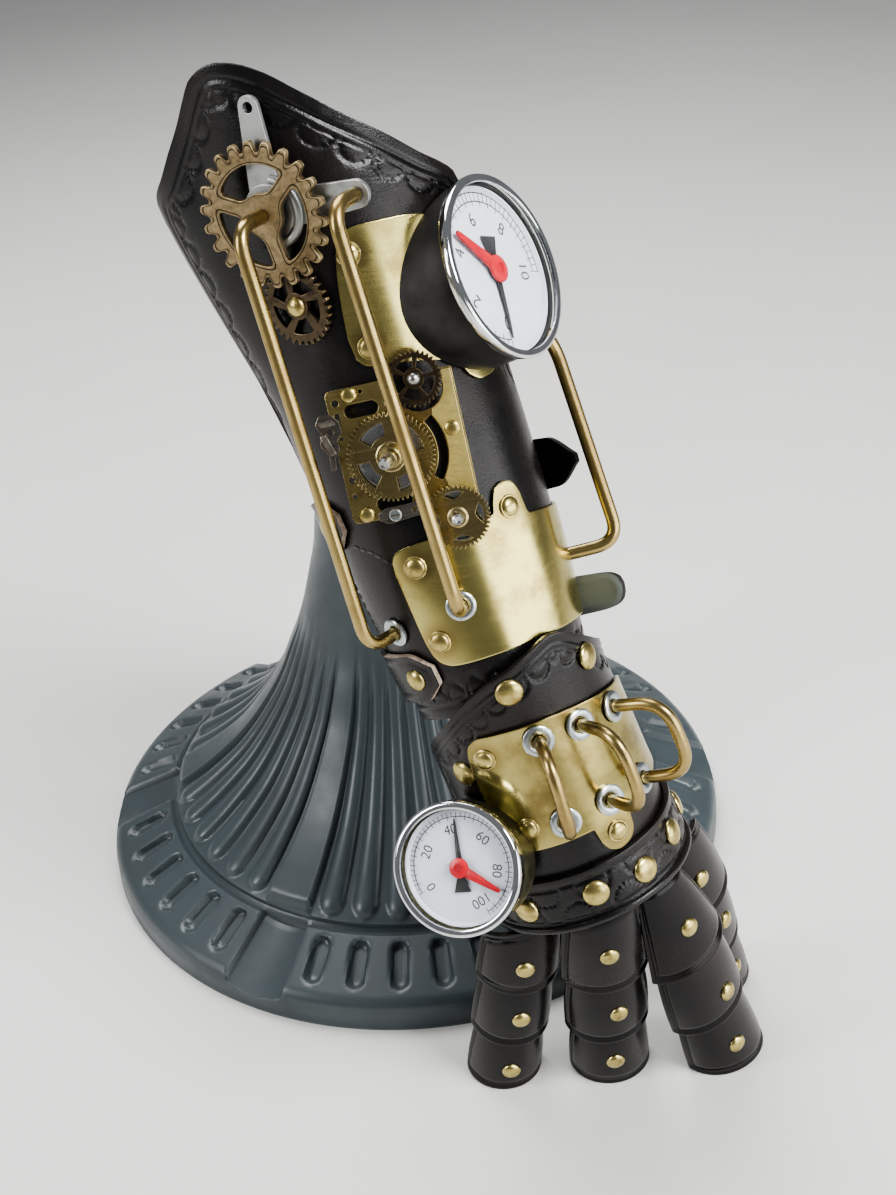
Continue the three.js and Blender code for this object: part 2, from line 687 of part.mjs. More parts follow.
function addGauge(parent, name, { size, matrix, hollows, finish }) {
  const group = new THREE.Group();
  group.applyMatrix4(matrix);
  parent.add(group);
  const { segments, caseWall, bezelWall, lip, chamfer, lens, lensInset, dial } = GAUGE;
  const { radius, caseRadius, depth, bezelDepth, well, stemRadius, stemLength } = size;
  const shoulder = -bezelDepth - GAP;
  const wellRadius = caseRadius - caseWall;
  const cup = turned([
    [0, -depth], [caseRadius, -depth], [caseRadius, shoulder],
    [wellRadius, shoulder], [wellRadius, -well], [0, -well],
  ], segments);
  const body = stemLength ? joined(cup, cylinder(stemRadius, -depth - stemLength, -well - 1, segments)) : cup;
  const toGauge = matrix.clone().invert();
  const fitted = cut(body, ...hollows.map((hollow) => hollow.applyMatrix4(toGauge)));
  addPiece(group, `${name}_case`, fitted, finish);
  const bore = radius - bezelWall;
  const ring = turned([
    [bore, -bezelDepth], [radius, -bezelDepth], [radius, -chamfer], [radius - chamfer, 0],
    [bore - lip, 0], [bore - lip, -lensInset], [bore, -lensInset], [bore, -bezelDepth],
  ], segments);
  addPiece(group, `${name}_bezel`, ring, 'chrome');
  const lensTop = -lensInset - GAP;
  addPiece(group, `${name}_lens`, cylinder(bore - GAP, lensTop - lens, lensTop, segments), 'clear');
  const dialFoot = GAP - well;
  const face = dialFoot + dial;
  addPiece(group, `${name}_dial`, cylinder(wellRadius - GAP, dialFoot, face, segments), 'dial_white');
  for (const [colour, { lift, thickness, tail }] of Object.entries(POINTERS)) {
    const blade = flat(pointerShape(radius, tail), thickness, 4).translate(0, 0, face + lift);
    const pointer = addPiece(group, `${name}_${colour}_pointer`, blade, `pointer_${colour}`);
    pointer.rotation.z = degToRad(size[colour]);
  }
}

// The arm under a gauge, as a turned core that shapes the foot of its body
function core(rows, margin) {
  const sides = 48;
  const profile = rows.map(({ along, radius }) => [radius + margin, along]);
  return turned([[0, rows[0].along], ...profile, [0, rows[rows.length - 1].along]], sides);
}

function gaugeAxes(front, normal) {
  const out = new THREE.Vector3(...normal).normalize();
  const side = new THREE.Vector3(0, 0, 1).cross(out).normalize();
  return new THREE.Matrix4().makeBasis(side, out.clone().cross(side), out).setPosition(...front);
}

function addGauges() {
  const { angle, along, front } = UPPER_GAUGE;
  const turn = degToRad(angle);
  const normal = [Math.sin(turn), -Math.cos(turn), 0];
  addGauge(forearm, 'upper', {
    size: UPPER_GAUGE,
    matrix: gaugeAxes([front * normal[0], front * normal[1], along], normal),
    hollows: [core(FOREARM_ROWS, ON_PLATE + 2 * GAP)],
    finish: 'black_case',
  });
  addGauge(hand, 'lower', {
    size: LOWER_GAUGE,
    matrix: gaugeAxes(LOWER_GAUGE.front, LOWER_GAUGE.normal),
    hollows: [core(HAND_ROWS, ON_PLATE), core(BAND_ROWS, 2 * GAP)],
    finish: 'brass',
  });
}

// Elbow works

function crankArm({ reach, turn }) {
  const across = degToRad(turn) - Math.PI / 2;
  const end = new THREE.Vector2(reach, 0).rotateAround(new THREE.Vector2(), degToRad(turn));
  const side = new THREE.Vector2(CRANK.waist, 0).rotateAround(new THREE.Vector2(), across);
  const shape = new THREE.Shape();
  shape.moveTo(side.x, side.y);
  shape.absarc(end.x, end.y, CRANK.eye, across, across + Math.PI, false);
  shape.lineTo(-side.x, -side.y);
  return flat(shape, CRANK.thickness);
}

function addElbowWorks() {
  const gear = flat(toothed(ELBOW_GEAR, SQUARE_TOOTH), ELBOW_GEAR.thickness, 3);
  gear.applyMatrix4(seat(forearmSurface, ELBOW_GEAR, ELBOW_GEAR.lift));
  addPiece(forearm, 'elbow_gear', gear, 'bronze');
  const boss = flat(disc(0, 0, CRANK.boss), CRANK.thickness, 8);
  const post = cylinder(CRANK.post, 0, ELBOW_GEAR.lift - CRANK.lift - GAP, RIVET_SEGMENTS);
  const crank = joined(boss, crankArm(CRANK_UP), crankArm(CRANK_SIDE), post);
  addPiece(forearm, 'crank_arm', crank.applyMatrix4(seat(forearmSurface, ELBOW_GEAR, CRANK.lift)), 'steel');
  const small = flat(toothed(SMALL_GEAR, POINTED_TOOTH), SMALL_GEAR.thickness, 2);
  const head = rivet(PLATE_RIVET).translate(0, 0, SMALL_GEAR.thickness);
  const place = seat(forearmSurface, SMALL_GEAR, SMALL_GEAR.lift);
  addPiece(forearm, 'small_gear', joined(small, head).applyMatrix4(place), 'dark_bronze');
}

// Clock movement

function addClock() {
  const group = new THREE.Group();
  group.applyMatrix4(seat(forearmSurface, { angle: 0, along: CLOCK.along }, CLOCK.lift));
  group.translateX(CLOCK.shift);
  group.rotateZ(degToRad(CLOCK.turn));
  forearm.add(group);
  const { big_wheel: big, spoked_wheel: spoked } = CLOCK_WHEELS;
  const shape = rectangle(0, 0, CLOCK.width, CLOCK.height);
  shape.holes.push(...CLOCK_SLOTS.map(slot));
  shape.holes.push(sector(big.x, big.y, CLOCK_CRESCENT));
  const recess = flat(disc(spoked.x, spoked.y, CLOCK_RECESS), 3 * CLOCK.thickness, 8);
  const plate = cut(flat(shape, CLOCK.thickness), recess.translate(0, 0, -CLOCK.thickness));
  const heads = CLOCK_RIVETS.map(({ x, y }) => rivet(CLOCK_RIVET).translate(x, y, CLOCK.thickness));
  addPiece(group, 'clock_plate', joined(plate, ...heads), 'brass');
  const foot = CLOCK.thickness + GAP;
  for (const [name, wheel] of Object.entries(CLOCK_WHEELS)) {
    const { x, y, lift, thickness, arborRadius, arborTop } = wheel;
    const tip = [[arborRadius, arborTop], [arborRadius * ARBOR.taper, arborTop + ARBOR.tip]];
    const arbor = turned([[0, foot], [arborRadius, foot], ...tip, [0, arborTop + ARBOR.tip]], ARBOR.segments);
    const rim = flat(toothed(wheel, POINTED_TOOTH), thickness, 2).translate(0, 0, lift);
    const finish = name === 'spoked_wheel' ? 'dark_bronze' : 'brass';
    addPiece(group, name, joined(rim, arbor).translate(x, y, 0), finish);
  }
  const { x, y, width, height, thickness } = STEEL_BRACKET;
  const strip = flat(slot({ x, y, length: width, width: height }), thickness);
  addPiece(group, 'steel_bracket', strip.translate(0, 0, foot), 'steel');
  const click = STEEL_CLICK;
  const bar = flat(rectangle(click.x, click.y, click.width, click.height), click.thickness);
  addPiece(group, 'steel_click', bar, 'steel');
}

// Tubes and washers

function addWasher(parent, name, surface, place, lift, bore) {
  addPiece(parent, name, washer(bore).applyMatrix4(seat(surface, place, lift)), 'steel');
}

function addForearmTubes() {
  const bore = TUBE.radius + GAP;
  const gearTop = ELBOW_GEAR.lift + ELBOW_GEAR.thickness + GAP;
  const leftFoot = LEFT_TUBE.washer;
  const left = [
    lifted(forearmSurface, ELBOW_GEAR, gearTop),
    lifted(forearmSurface, ELBOW_GEAR, gearTop + LEFT_TUBE.lift),
    lifted(forearmSurface, leftFoot, LEFT_TUBE.footLift),
    lifted(forearmSurface, leftFoot, GAP),
  ];
  addPiece(forearm, 'left_tube', rod(left, TUBE), 'brass');
  addWasher(forearm, 'left_washer', forearmSurface, leftFoot, GAP, bore);
  const crankSeat = seat(forearmSurface, ELBOW_GEAR, CRANK.lift + CRANK.thickness + GAP);
  const upright = new THREE.Vector3(0, 0, 1);
  const eye = new THREE.Vector3(CRANK_SIDE.reach, 0, 0);
  eye.applyAxisAngle(upright, degToRad(CRANK_SIDE.turn));
  const middleFoot = MIDDLE_TUBE.washer;
  const middle = [
    eye.clone().applyMatrix4(crankSeat),
    eye.clone().setZ(MIDDLE_TUBE.lift).applyMatrix4(crankSeat),
    lifted(forearmSurface, middleFoot, MIDDLE_TUBE.footLift),
    lifted(forearmSurface, middleFoot, ON_PLATE),
  ];
  addPiece(forearm, 'middle_tube', rod(middle, TUBE), 'brass');
  addWasher(forearm, 'middle_washer', forearmSurface, middleFoot, ON_PLATE, bore);
}

// The right tube runs from the wrist plate into the side of the upper gauge
function addRightTube() {
  const { angle, low, high, lift, headLift } = RIGHT_TUBE;
  const gaugeTurn = degToRad(UPPER_GAUGE.angle);
  const normal = new THREE.Vector3(Math.sin(gaugeTurn), -Math.cos(gaugeTurn), 0);
  const knee = lifted(forearmSurface, { angle, along: high }, headLift);
  const axisPoint = normal.clone().multiplyScalar(knee.dot(normal)).setZ(UPPER_GAUGE.along);
  const share = 1 - (UPPER_GAUGE.caseRadius + GAP) / knee.distanceTo(axisPoint);
  const right = [
    lifted(forearmSurface, { angle, along: low }, ON_PLATE),
    lifted(forearmSurface, { angle, along: low }, lift),
    knee,
    knee.clone().lerp(axisPoint, share),
  ];
  addPiece(forearm, 'right_tube', rod(right, TUBE), 'brass');
}

function addHandTubes() {
  const bore = HAND_TUBE.radius + GAP;
  HAND_TUBES.forEach(({ top, foot, height }, index) => {
    const number = index + 1;
    const arch = [
      lifted(handSurface, top, ON_PLATE),
      lifted(handSurface, top, height),
      lifted(handSurface, foot, height),
      lifted(handSurface, foot, ON_PLATE),
    ];
    addPiece(hand, `hand_tube_${number}`, rod(arch, HAND_TUBE), 'brass');
    addWasher(hand, `hand_washer_${number}_top`, handSurface, top, ON_PLATE, bore);
    addWasher(hand, `hand_washer_${number}_foot`, handSurface, foot, ON_PLATE, bore);
  });
}

// Stand

function addStand() {
  const profile = STAND_ROWS.map(({ radius, height }) => [radius, height]);
  const top = STAND_ROWS[STAND_ROWS.length - 1].height;
  addPiece(gauntlet, 'stand_foot', turned([[0, 0], ...profile, [0, top]], STAND_SEGMENTS), 'slate');
  const { along, radius, length, sides } = CROSS_BAR;
  const edge = FOREARM_EDGE[FOREARM_EDGE.length - 1];
  const back = forearmSurface(edge.angle, along).y + radius + 2 * GAP;
  const middle = new THREE.Vector3(0, back, along);
  const bar = new THREE.CylinderGeometry(radius, radius, length, sides);
  bar.rotateZ(Math.PI / 2).translate(...middle.toArray()).applyMatrix4(forearm.matrixWorld);
  const knee = new THREE.Vector3(0, 0, POST.knee);
  const post = [new THREE.Vector3(0, 0, top + GAP), knee, middle.applyMatrix4(forearm.matrixWorld)];
  addPiece(gauntlet, 'stand_post', joined(rod(post, POST), bar), 'slate');
}

addStand();
addLeather();
FINGERS.forEach((finger, index) => addFinger(finger, index + 1));
addStrap('upper', STRAPS.upper);
addStrap('lower', STRAPS.lower);
addPlates();
addClock();
addElbowWorks();
addForearmTubes();
addRightTube();
addHandTubes();
addGauges();

export default gauntlet;
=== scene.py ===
"""Looks of a leather and brass steampunk gauntlet on its display stand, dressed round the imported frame.

Pieces are modelled in millimetres in the frame of the limb that carries them and kept in metres.
"""

import logging
import math
from collections.abc import Iterable, Sequence
from dataclasses import dataclass
from enum import Enum

import bmesh
import bpy
import numpy as np
from mathutils import Matrix, Vector


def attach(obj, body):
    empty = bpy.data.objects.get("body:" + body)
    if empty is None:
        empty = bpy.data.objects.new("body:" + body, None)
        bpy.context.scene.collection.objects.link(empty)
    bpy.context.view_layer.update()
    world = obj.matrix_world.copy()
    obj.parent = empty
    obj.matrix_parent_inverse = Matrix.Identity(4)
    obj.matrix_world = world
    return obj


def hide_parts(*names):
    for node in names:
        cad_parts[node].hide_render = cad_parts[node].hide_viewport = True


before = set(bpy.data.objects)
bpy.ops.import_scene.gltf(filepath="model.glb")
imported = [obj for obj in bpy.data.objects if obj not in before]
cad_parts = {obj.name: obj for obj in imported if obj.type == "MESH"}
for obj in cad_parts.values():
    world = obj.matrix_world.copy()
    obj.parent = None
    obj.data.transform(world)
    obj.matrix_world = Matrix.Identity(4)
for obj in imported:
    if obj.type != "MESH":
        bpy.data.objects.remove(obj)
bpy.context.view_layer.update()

MM = 0.001
IDENTITY = Matrix.Identity(4)
STAMPED = 20.0
SOFT = 70.0

Array = np.ndarray
Spot = tuple[float, float]
Loop = list[Spot]
Spots = tuple[Spot, ...]
Point = tuple[float, float, float]
Colour = tuple[float, float, float]
Node = bpy.types.Node
Socket = bpy.types.NodeSocket
Outputs = bpy.types.NodeOutputs
Sheet = bmesh.types.BMesh
Piece = bpy.types.Object

log = logging.getLogger("gauntlet")


class Body(Enum):
    """CAD bodies that pieces ride on."""

    GAUNTLET = "gauntlet"
    UPPER_BLACK = "upper_black_pointer"
    UPPER_RED = "upper_red_pointer"
    LOWER_BLACK = "lower_black_pointer"
    LOWER_RED = "lower_red_pointer"


class Slot(Enum):
    """Material slots that the finishes stand for."""

    SLATE = "slate_plastic"
    LEATHER = "black_leather"
    BRASS = "brass"
    BRONZE = "antique_bronze"
    DARK_BRONZE = "dark_bronze"
    STEEL = "steel"
    CHROME = "chrome"
    CASE = "case_black"
    DIAL = "dial_white"
    BLACK = "pointer_black"
    RED = "pointer_red"
    LENS = "clear_lens"


class Tooth(Enum):
    """Height of one gear tooth at even steps round the wheel."""

    BLOCK = (0.0, 0.0, 0.0, 0.3, 0.85, 1.0, 1.0, 1.0, 0.85, 0.3)
    FINE = (0.0, 0.25, 0.9, 1.0, 0.9, 0.25)


class Side(Enum):
    """The way a sheet's thickness grows from the surface it is wrapped on."""

    INWARD = -1.0
    OUTWARD = 1.0


# Shader nodes

class Graph:
    """Adds, sets and links nodes in one node tree."""

    def __init__(self, tree: bpy.types.NodeTree) -> None:
        """Keeps the tree that nodes go into."""
        self.tree = tree

    def fill(self, node: Node, inputs: dict) -> None:
        """Sets a node's inputs.

        Args:
            node: The node.
            inputs: Value, colour or source socket for each input, by name or number.
        """
        for name, value in inputs.items():
            socket = node.inputs[name]
            if isinstance(value, Socket):
                self.tree.links.new(value, socket)
            else:
                socket.default_value = (*value, 1.0) if socket.type == "RGBA" else value

    def add(self, kind: str, inputs: dict | None = None, **settings: object) -> Node:
        """Adds a node.

        Args:
            kind: Node type.
            inputs: What its inputs are filled with.
            settings: Properties of the node.

        Returns:
            The new node.
        """
        node = self.tree.nodes.new(kind)
        for name, value in settings.items():
            setattr(node, name, value)
        self.fill(node, inputs or {})
        return node

    def blend(self, share: Socket, first: object, second: object) -> Socket:
        """Mixes two colours by a share."""
        return self.add("ShaderNodeMix", {0: share, 6: first, 7: second}, data_type="RGBA").outputs[2]

    def ranged(self, value: Socket, source: tuple, target: Spot = (0.0, 1.0), **settings: str) -> Socket:
        """Maps a value from one range to another."""
        limits = {"From Min": source[0], "From Max": source[1], "To Min": target[0], "To Max": target[1]}
        return self.add("ShaderNodeMapRange", {"Value": value, **limits}, **settings).outputs["Result"]

    def maths(self, operation: str, *values: object) -> Socket:
        """Joins values by an operation."""
        return self.add("ShaderNodeMath", dict(enumerate(values)), operation=operation).outputs[0]

    def noise(self, spot: Socket, scale: Socket, detail: float, roughness: float = 0.5) -> Socket:
        """Draws cloudy noise."""
        values = {"Vector": spot, "Scale": scale, "Detail": detail, "Roughness": roughness}
        return self.add("ShaderNodeTexNoise", values).outputs["Fac"]


class Effect(Enum):
    """Shader node groups that several finishes share: the name and the number inputs of each."""

    MOTTLE = ("mottle", "Scale", "Low", "High")
    GRAIN = ("leather_grain", "Scale")
    WEAR = ("edge_wear", "Scale", "Low", "High")
    BRUSH = ("brush_marks", "Scale")

    def tree(self) -> bpy.types.NodeTree:
        """Makes the effect's node group at its first use.

        Returns:
            The group, which puts out one value.
        """
        name, *numbers = self.value
        found = bpy.data.node_groups.get(name)
        if found:
            return found
        graph = Graph(bpy.data.node_groups.new(name, "ShaderNodeTree"))
        face = graph.tree.interface
        face.new_socket(name="Vector", in_out="INPUT", socket_type="NodeSocketVector")
        for number in numbers:
            face.new_socket(name=number, in_out="INPUT", socket_type="NodeSocketFloat")
        face.new_socket(name="Value", in_out="OUTPUT", socket_type="NodeSocketFloat")
        entry = graph.add("NodeGroupInput").outputs
        graph.add("NodeGroupOutput", {"Value": getattr(self, f"_{name}")(graph, entry)})
        return graph.tree

    def _mottle(self, graph: Graph, entry: Outputs) -> Socket:
        """Cloudy patches as a mask."""
        cloud = graph.noise(entry["Vector"], entry["Scale"], 6.0, 0.62)
        return graph.ranged(cloud, (entry["Low"], entry["High"]), interpolation_type="SMOOTHSTEP")

    def _leather_grain(self, graph: Graph, entry: Outputs) -> Socket:
        """Pebbled skin of leather as a height."""
        values = {"Vector": entry["Vector"], "Scale": entry["Scale"]}
        cells = graph.add("ShaderNodeTexVoronoi", values, feature="DISTANCE_TO_EDGE").outputs["Distance"]
        shift = graph.noise(entry["Vector"], entry["Scale"], 2.0)
        return graph.maths("MULTIPLY_ADD", shift, 0.6, graph.ranged(cells, (0.0, 0.22)))

    def _edge_wear(self, graph: Graph, entry: Outputs) -> Socket:
        """Bright rubbed edges as a mask, broken up by a cloud."""
        point = graph.add("ShaderNodeNewGeometry").outputs["Pointiness"]
        cloud = graph.noise(entry["Vector"], entry["Scale"], 3.0)
        return graph.maths("MULTIPLY", graph.ranged(point, (entry["Low"], entry["High"])),
                           graph.ranged(cloud, (0.3, 0.6), (0.25, 1.0)))

    def _brush_marks(self, graph: Graph, entry: Outputs) -> Socket:
        """Fine streaks of a polishing wheel as a height."""
        streaks = {"Vector": entry["Vector"], "Rotation": (0.0, 0.3, 0.0), "Scale": (0.05, 0.05, 1.0)}
        turned = graph.add("ShaderNodeMapping", streaks).outputs["Vector"]
        return graph.noise(turned, entry["Scale"], 4.0, 0.7)


class MaterialGraph(Graph):
    """The nodes of one material round its one shader, drawn on object coordinates."""

    def __init__(self, name: str) -> None:
        """Makes the material with a bare shader.

        Args:
            name: The material's name.
        """
        self.material = bpy.data.materials.new(name)
        self.material.use_nodes = True
        super().__init__(self.material.node_tree)
        self.tree.nodes.clear()
        self.shader = self.add("ShaderNodeBsdfPrincipled")
        self.leave = self.add("ShaderNodeOutputMaterial", {"Surface": self.shader.outputs["BSDF"]})
        self.spot = self.add("ShaderNodeTexCoord").outputs["Object"]

    def effect(self, kind: Effect, **values: float) -> Socket:
        """Places a shared effect with its number inputs."""
        return self.add("ShaderNodeGroup", {"Vector": self.spot, **values}, node_tree=kind.tree()).outputs[0]

    def mark(self, name: str) -> Socket:
        """Reads a value kept with the piece's vertices."""
        return self.add("ShaderNodeAttribute", attribute_name=name).outputs["Fac"]

    def bump(self, height: Socket, strength: float, depth_mm: float) -> Socket:
        """Makes a height into a normal, with a depth in millimetres."""
        values = {"Height": height, "Strength": strength, "Distance": depth_mm * MM}
        return self.add("ShaderNodeBump", values).outputs["Normal"]


# Finishes

@dataclass(frozen=True)
class Finish:
    """A surface finish, and the material slot that it stands for."""

    name: str
    slot: Slot | None

    def material(self) -> bpy.types.Material:
        """Makes the finish's material at its first use.

        Returns:
            The material.
        """
        found = bpy.data.materials.get(self.name)
        if found:
            return found
        graph = MaterialGraph(self.name)
        graph.fill(graph.shader, self.inputs(graph))
        return graph.material

    def inputs(self, graph: MaterialGraph) -> dict[str, object]:
        """What the shader's inputs are filled with; each finish has its own."""
        raise NotImplementedError(self.name)


@dataclass(frozen=True)
class Metal(Finish):
    """Sheet, cast or drawn metal with tarnish clouds, brush marks and rubbed edges."""

    base: Colour
    tarnish: Colour
    rubbed: Colour
    smooth: float = 0.2
    dull: float = 0.38
    cloud: float = 70.0
    clouds_from: float = 0.42
    clouds_to: float = 0.72
    wear: Spot = (0.53, 0.6)
    wear_scale: float = 300.0
    brush: float = 900.0
    brush_strength: float = 0.05
    brush_depth: float = 0.08

    def inputs(self, graph: MaterialGraph) -> dict[str, object]:
        """Draws clouds in colour and roughness, and brush marks in the normal.

        Args:
            graph: The material's nodes.

        Returns:
            What each input of the shader gets.
        """
        cloud = graph.effect(Effect.MOTTLE, Scale=self.cloud, Low=self.clouds_from, High=self.clouds_to)
        worn = graph.effect(Effect.WEAR, Scale=self.wear_scale, Low=self.wear[0], High=self.wear[1])
        brush = graph.effect(Effect.BRUSH, Scale=self.brush)
        aged = graph.blend(graph.maths("MAXIMUM", cloud, graph.mark("stain")), self.base, self.tarnish)
        rough = graph.ranged(cloud, (0.0, 1.0), (self.smooth, self.dull))
        return {
            "Base Color": graph.blend(worn, aged, self.rubbed),
            "Roughness": graph.maths("ADD", rough, graph.ranged(brush, (0.3, 0.7), (-0.03, 0.03))),
            "Metallic": 1.0,
            "Normal": graph.bump(brush, self.brush_strength, self.brush_depth),
        }


@dataclass(frozen=True)
class Leather(Finish):
    """Vegetable-tanned leather dyed near black, waxed, with a burnished edge and darker tooling, partly its
    own pressed darkening and partly painted shade in the grooves.
    """

    dye: Colour = (0.0055, 0.005, 0.0052)
    brown: Colour = (0.015, 0.0098, 0.008)
    burnish: Colour = (0.022, 0.018, 0.016)
    # Darker colour in tooled grooves: the leather's own pressed darkening plus painted shade.
    pressed: Colour = (0.0025, 0.0022, 0.0022)
    # Blue-grey painted sky reflection, laid on a strap's tail.
    sky_reflection_colour: Colour = (0.24, 0.28, 0.31)
    smooth: float = 0.24
    dull: float = 0.4
    # Roughness where the painted sky reflection lies.
    tail_roughness: float = 0.8
    sheen: float = 0.36
    grain: float = 900.0
    grain_strength: float = 0.22
    cloud: float = 24.0
    spots: float = 9.0

    def inputs(self, graph: MaterialGraph) -> dict[str, object]:
        """Draws dye clouds, darker tooling that is partly painted shade in the grooves, burnished edges, a
        painted sky reflection on strap tails, and grain.

        Args:
            graph: The material's nodes.

        Returns:
            What each input of the shader gets.
        """
        cloud = graph.effect(Effect.MOTTLE, Scale=self.cloud, Low=0.4, High=0.75)
        spots = graph.effect(Effect.MOTTLE, Scale=self.cloud * self.spots, Low=0.45, High=0.8)
        worn = graph.effect(Effect.WEAR, Scale=160.0, Low=0.53, High=0.62)
        grain = graph.effect(Effect.GRAIN, Scale=self.grain)
        # Mask of the painted sky reflection on a strap's tail.
        painted_sky_reflection = graph.mark("painted_sky_reflection")
        rubbed = graph.blend(worn, graph.blend(cloud, self.dye, self.brown), self.burnish)
        # Tooled grooves darken: partly the pressed leather's own colour, partly painted shade.
        tooled = graph.blend(graph.mark("pressed"), rubbed, self.pressed)
        rough = graph.ranged(graph.maths("ADD", cloud, spots), (0.0, 1.6), (self.smooth, self.dull))
        return {
            "Base Color": graph.blend(painted_sky_reflection, tooled, self.sky_reflection_colour),
            "Roughness": graph.maths("MAXIMUM", rough, graph.ranged(painted_sky_reflection, (0.0, 1.0), (0.0, self.tail_roughness))),
            "Specular IOR Level": self.sheen,
            "Normal": graph.bump(grain, self.grain_strength, 0.1),
        }


@dataclass(frozen=True)
class RawEdge(Finish):
    """Cut edge of leather, pale and fibrous where it is fresh and dyed elsewhere."""

    light: Colour = (0.46, 0.37, 0.29)
    dark: Colour = (0.2, 0.14, 0.1)
    dyed: Colour = (0.012, 0.01, 0.009)
    fibres: float = 700.0

    def inputs(self, graph: MaterialGraph) -> dict[str, object]:
        """Draws fibres in colour and height, with the fresh cut read from the piece.

        Args:
            graph: The material's nodes.

        Returns:
            What each input of the shader gets.
        """
        fibre = graph.effect(Effect.MOTTLE, Scale=self.fibres, Low=0.35, High=0.7)
        pale = graph.blend(fibre, self.light, self.dark)
        return {
            "Base Color": graph.blend(graph.mark("fresh_cut"), self.dyed, pale),
            "Roughness": graph.ranged(fibre, (0.0, 1.0), (0.7, 0.95)),
            "Normal": graph.bump(fibre, 0.5, 0.2),
        }


@dataclass(frozen=True)
class Moulded(Finish):
    """Painted or moulded surface with a fine texture and rubbed or dusty places."""

    base: Colour
    shade: Colour
    rubbed: Colour
    smooth: float = 0.42
    dull: float = 0.6
    cloud: float = 30.0
    texture: float = 1600.0
    texture_strength: float = 0.15
    wear: Spot = (0.52, 0.6)
    wear_scale: float = 90.0
    gloss: float = 0.5

    def inputs(self, graph: MaterialGraph) -> dict[str, object]:
        """Draws clouds, rubbed edges and the fine texture.

        Args:
            graph: The material's nodes.

        Returns:
            What each input of the shader gets.
        """
        cloud = graph.effect(Effect.MOTTLE, Scale=self.cloud, Low=0.36, High=0.7)
        fine = graph.effect(Effect.MOTTLE, Scale=self.texture, Low=0.3, High=0.7)
        worn = graph.effect(Effect.WEAR, Scale=self.wear_scale, Low=self.wear[0], High=self.wear[1])
        return {
            "Base Color": graph.blend(worn, graph.blend(cloud, self.base, self.shade), self.rubbed),
            "Roughness": graph.ranged(cloud, (0.0, 1.0), (self.smooth, self.dull)),
            "Specular IOR Level": self.gloss,
            "Normal": graph.bump(fine, self.texture_strength, 0.1),
        }


@dataclass(frozen=True)
class Glass(Finish):
    """Clear lens with faint smears."""

    tint: Colour = (0.97, 0.985, 0.98)
    bending: float = 1.3

    def inputs(self, graph: MaterialGraph) -> dict[str, object]:
        """Draws smears in the roughness, and lets light through to the dial.

        Args:
            graph: The material's nodes.

        Returns:
            What each input of the shader gets.
        """
        smear = graph.effect(Effect.MOTTLE, Scale=60.0, Low=0.5, High=0.9)
        clear = graph.add("ShaderNodeBsdfTransparent").outputs[0]
        shadow = graph.add("ShaderNodeLightPath").outputs["Is Shadow Ray"]
        mixed = graph.add("ShaderNodeMixShader", {0: shadow, 1: graph.shader.outputs[0], 2: clear})
        graph.fill(graph.leave, {"Surface": mixed.outputs[0]})
        return {"Base Color": self.tint, "Roughness": graph.ranged(smear, (0.0, 1.0), (0.0, 0.05)),
                "Transmission Weight": 1.0, "IOR": self.bending}


BLACK_LEATHER = Leather("black_leather_tooled", Slot.LEATHER)
FINGER_LEATHER = Leather("black_leather_lames", Slot.LEATHER, smooth=0.22, dull=0.36, sheen=0.24,
                         grain_strength=0.08)
RAW_EDGE = RawEdge("raw_leather_edge", Slot.LEATHER)
PLATE_BRASS = Metal("brass_plate", Slot.BRASS, (0.53, 0.465, 0.18), (0.27, 0.2, 0.075), (0.74, 0.67, 0.36),
                    dull=0.36, clouds_to=0.85)
# Plate brass darkened as painted shade, to hold down the pale floor's reflection in the hand plate, with more
# tarnish clouds of its own.
HAND_BRASS_SHADED = Metal("brass_hand_plate_shaded", Slot.BRASS, (0.43, 0.365, 0.14), (0.21, 0.16, 0.06), (0.7, 0.62, 0.33),
                   smooth=0.16, dull=0.34, cloud=46.0, clouds_from=0.38, clouds_to=0.7)
# Brass made lighter than the plate as a painted highlight, since the raised strip sits in shade and mirrors
# dark surroundings.
STRIP_BRASS_LIT = Metal("brass_strip_lit", Slot.BRASS, (0.78, 0.65, 0.24), (0.5, 0.39, 0.14), (0.88, 0.78, 0.42),
                    smooth=0.42, dull=0.58, cloud=520.0, clouds_from=0.4)
RIVET_BRASS = Metal("brass_rivet", Slot.BRASS, (0.5, 0.42, 0.165), (0.27, 0.2, 0.08), (0.7, 0.6, 0.3),
                    smooth=0.26, dull=0.4, cloud=240.0, brush_strength=0.015)
TUBE_BRASS = Metal("brass_tube", Slot.BRASS, (0.41, 0.315, 0.135), (0.28, 0.2, 0.08), (0.54, 0.43, 0.22),
                   smooth=0.26, cloud=60.0, wear=(0.56, 0.7), brush=300.0, brush_strength=0.015)
CLOCK_BRASS = Metal("brass_clock", Slot.BRASS, (0.45, 0.36, 0.15), (0.18, 0.12, 0.05), (0.7, 0.59, 0.3),
                    smooth=0.26, dull=0.44, cloud=180.0, clouds_from=0.36)
WHEEL_BRASS = Metal("brass_wheel", Slot.BRASS, (0.3, 0.245, 0.115), (0.14, 0.105, 0.05), (0.6, 0.51, 0.28),
                    smooth=0.28, dull=0.44, cloud=260.0, clouds_from=0.4)
GAUGE_BRASS = Metal("brass_gauge_case", Slot.BRASS, (0.074, 0.076, 0.05), (0.034, 0.037, 0.028),
                    (0.24, 0.22, 0.13), smooth=0.38, dull=0.52, cloud=60.0)
BRONZE = Metal("antique_bronze_cast", Slot.BRONZE, (0.235, 0.178, 0.1), (0.13, 0.096, 0.052),
               (0.5, 0.4, 0.24), smooth=0.44, dull=0.58, cloud=620.0, clouds_from=0.36, wear=(0.52, 0.58))
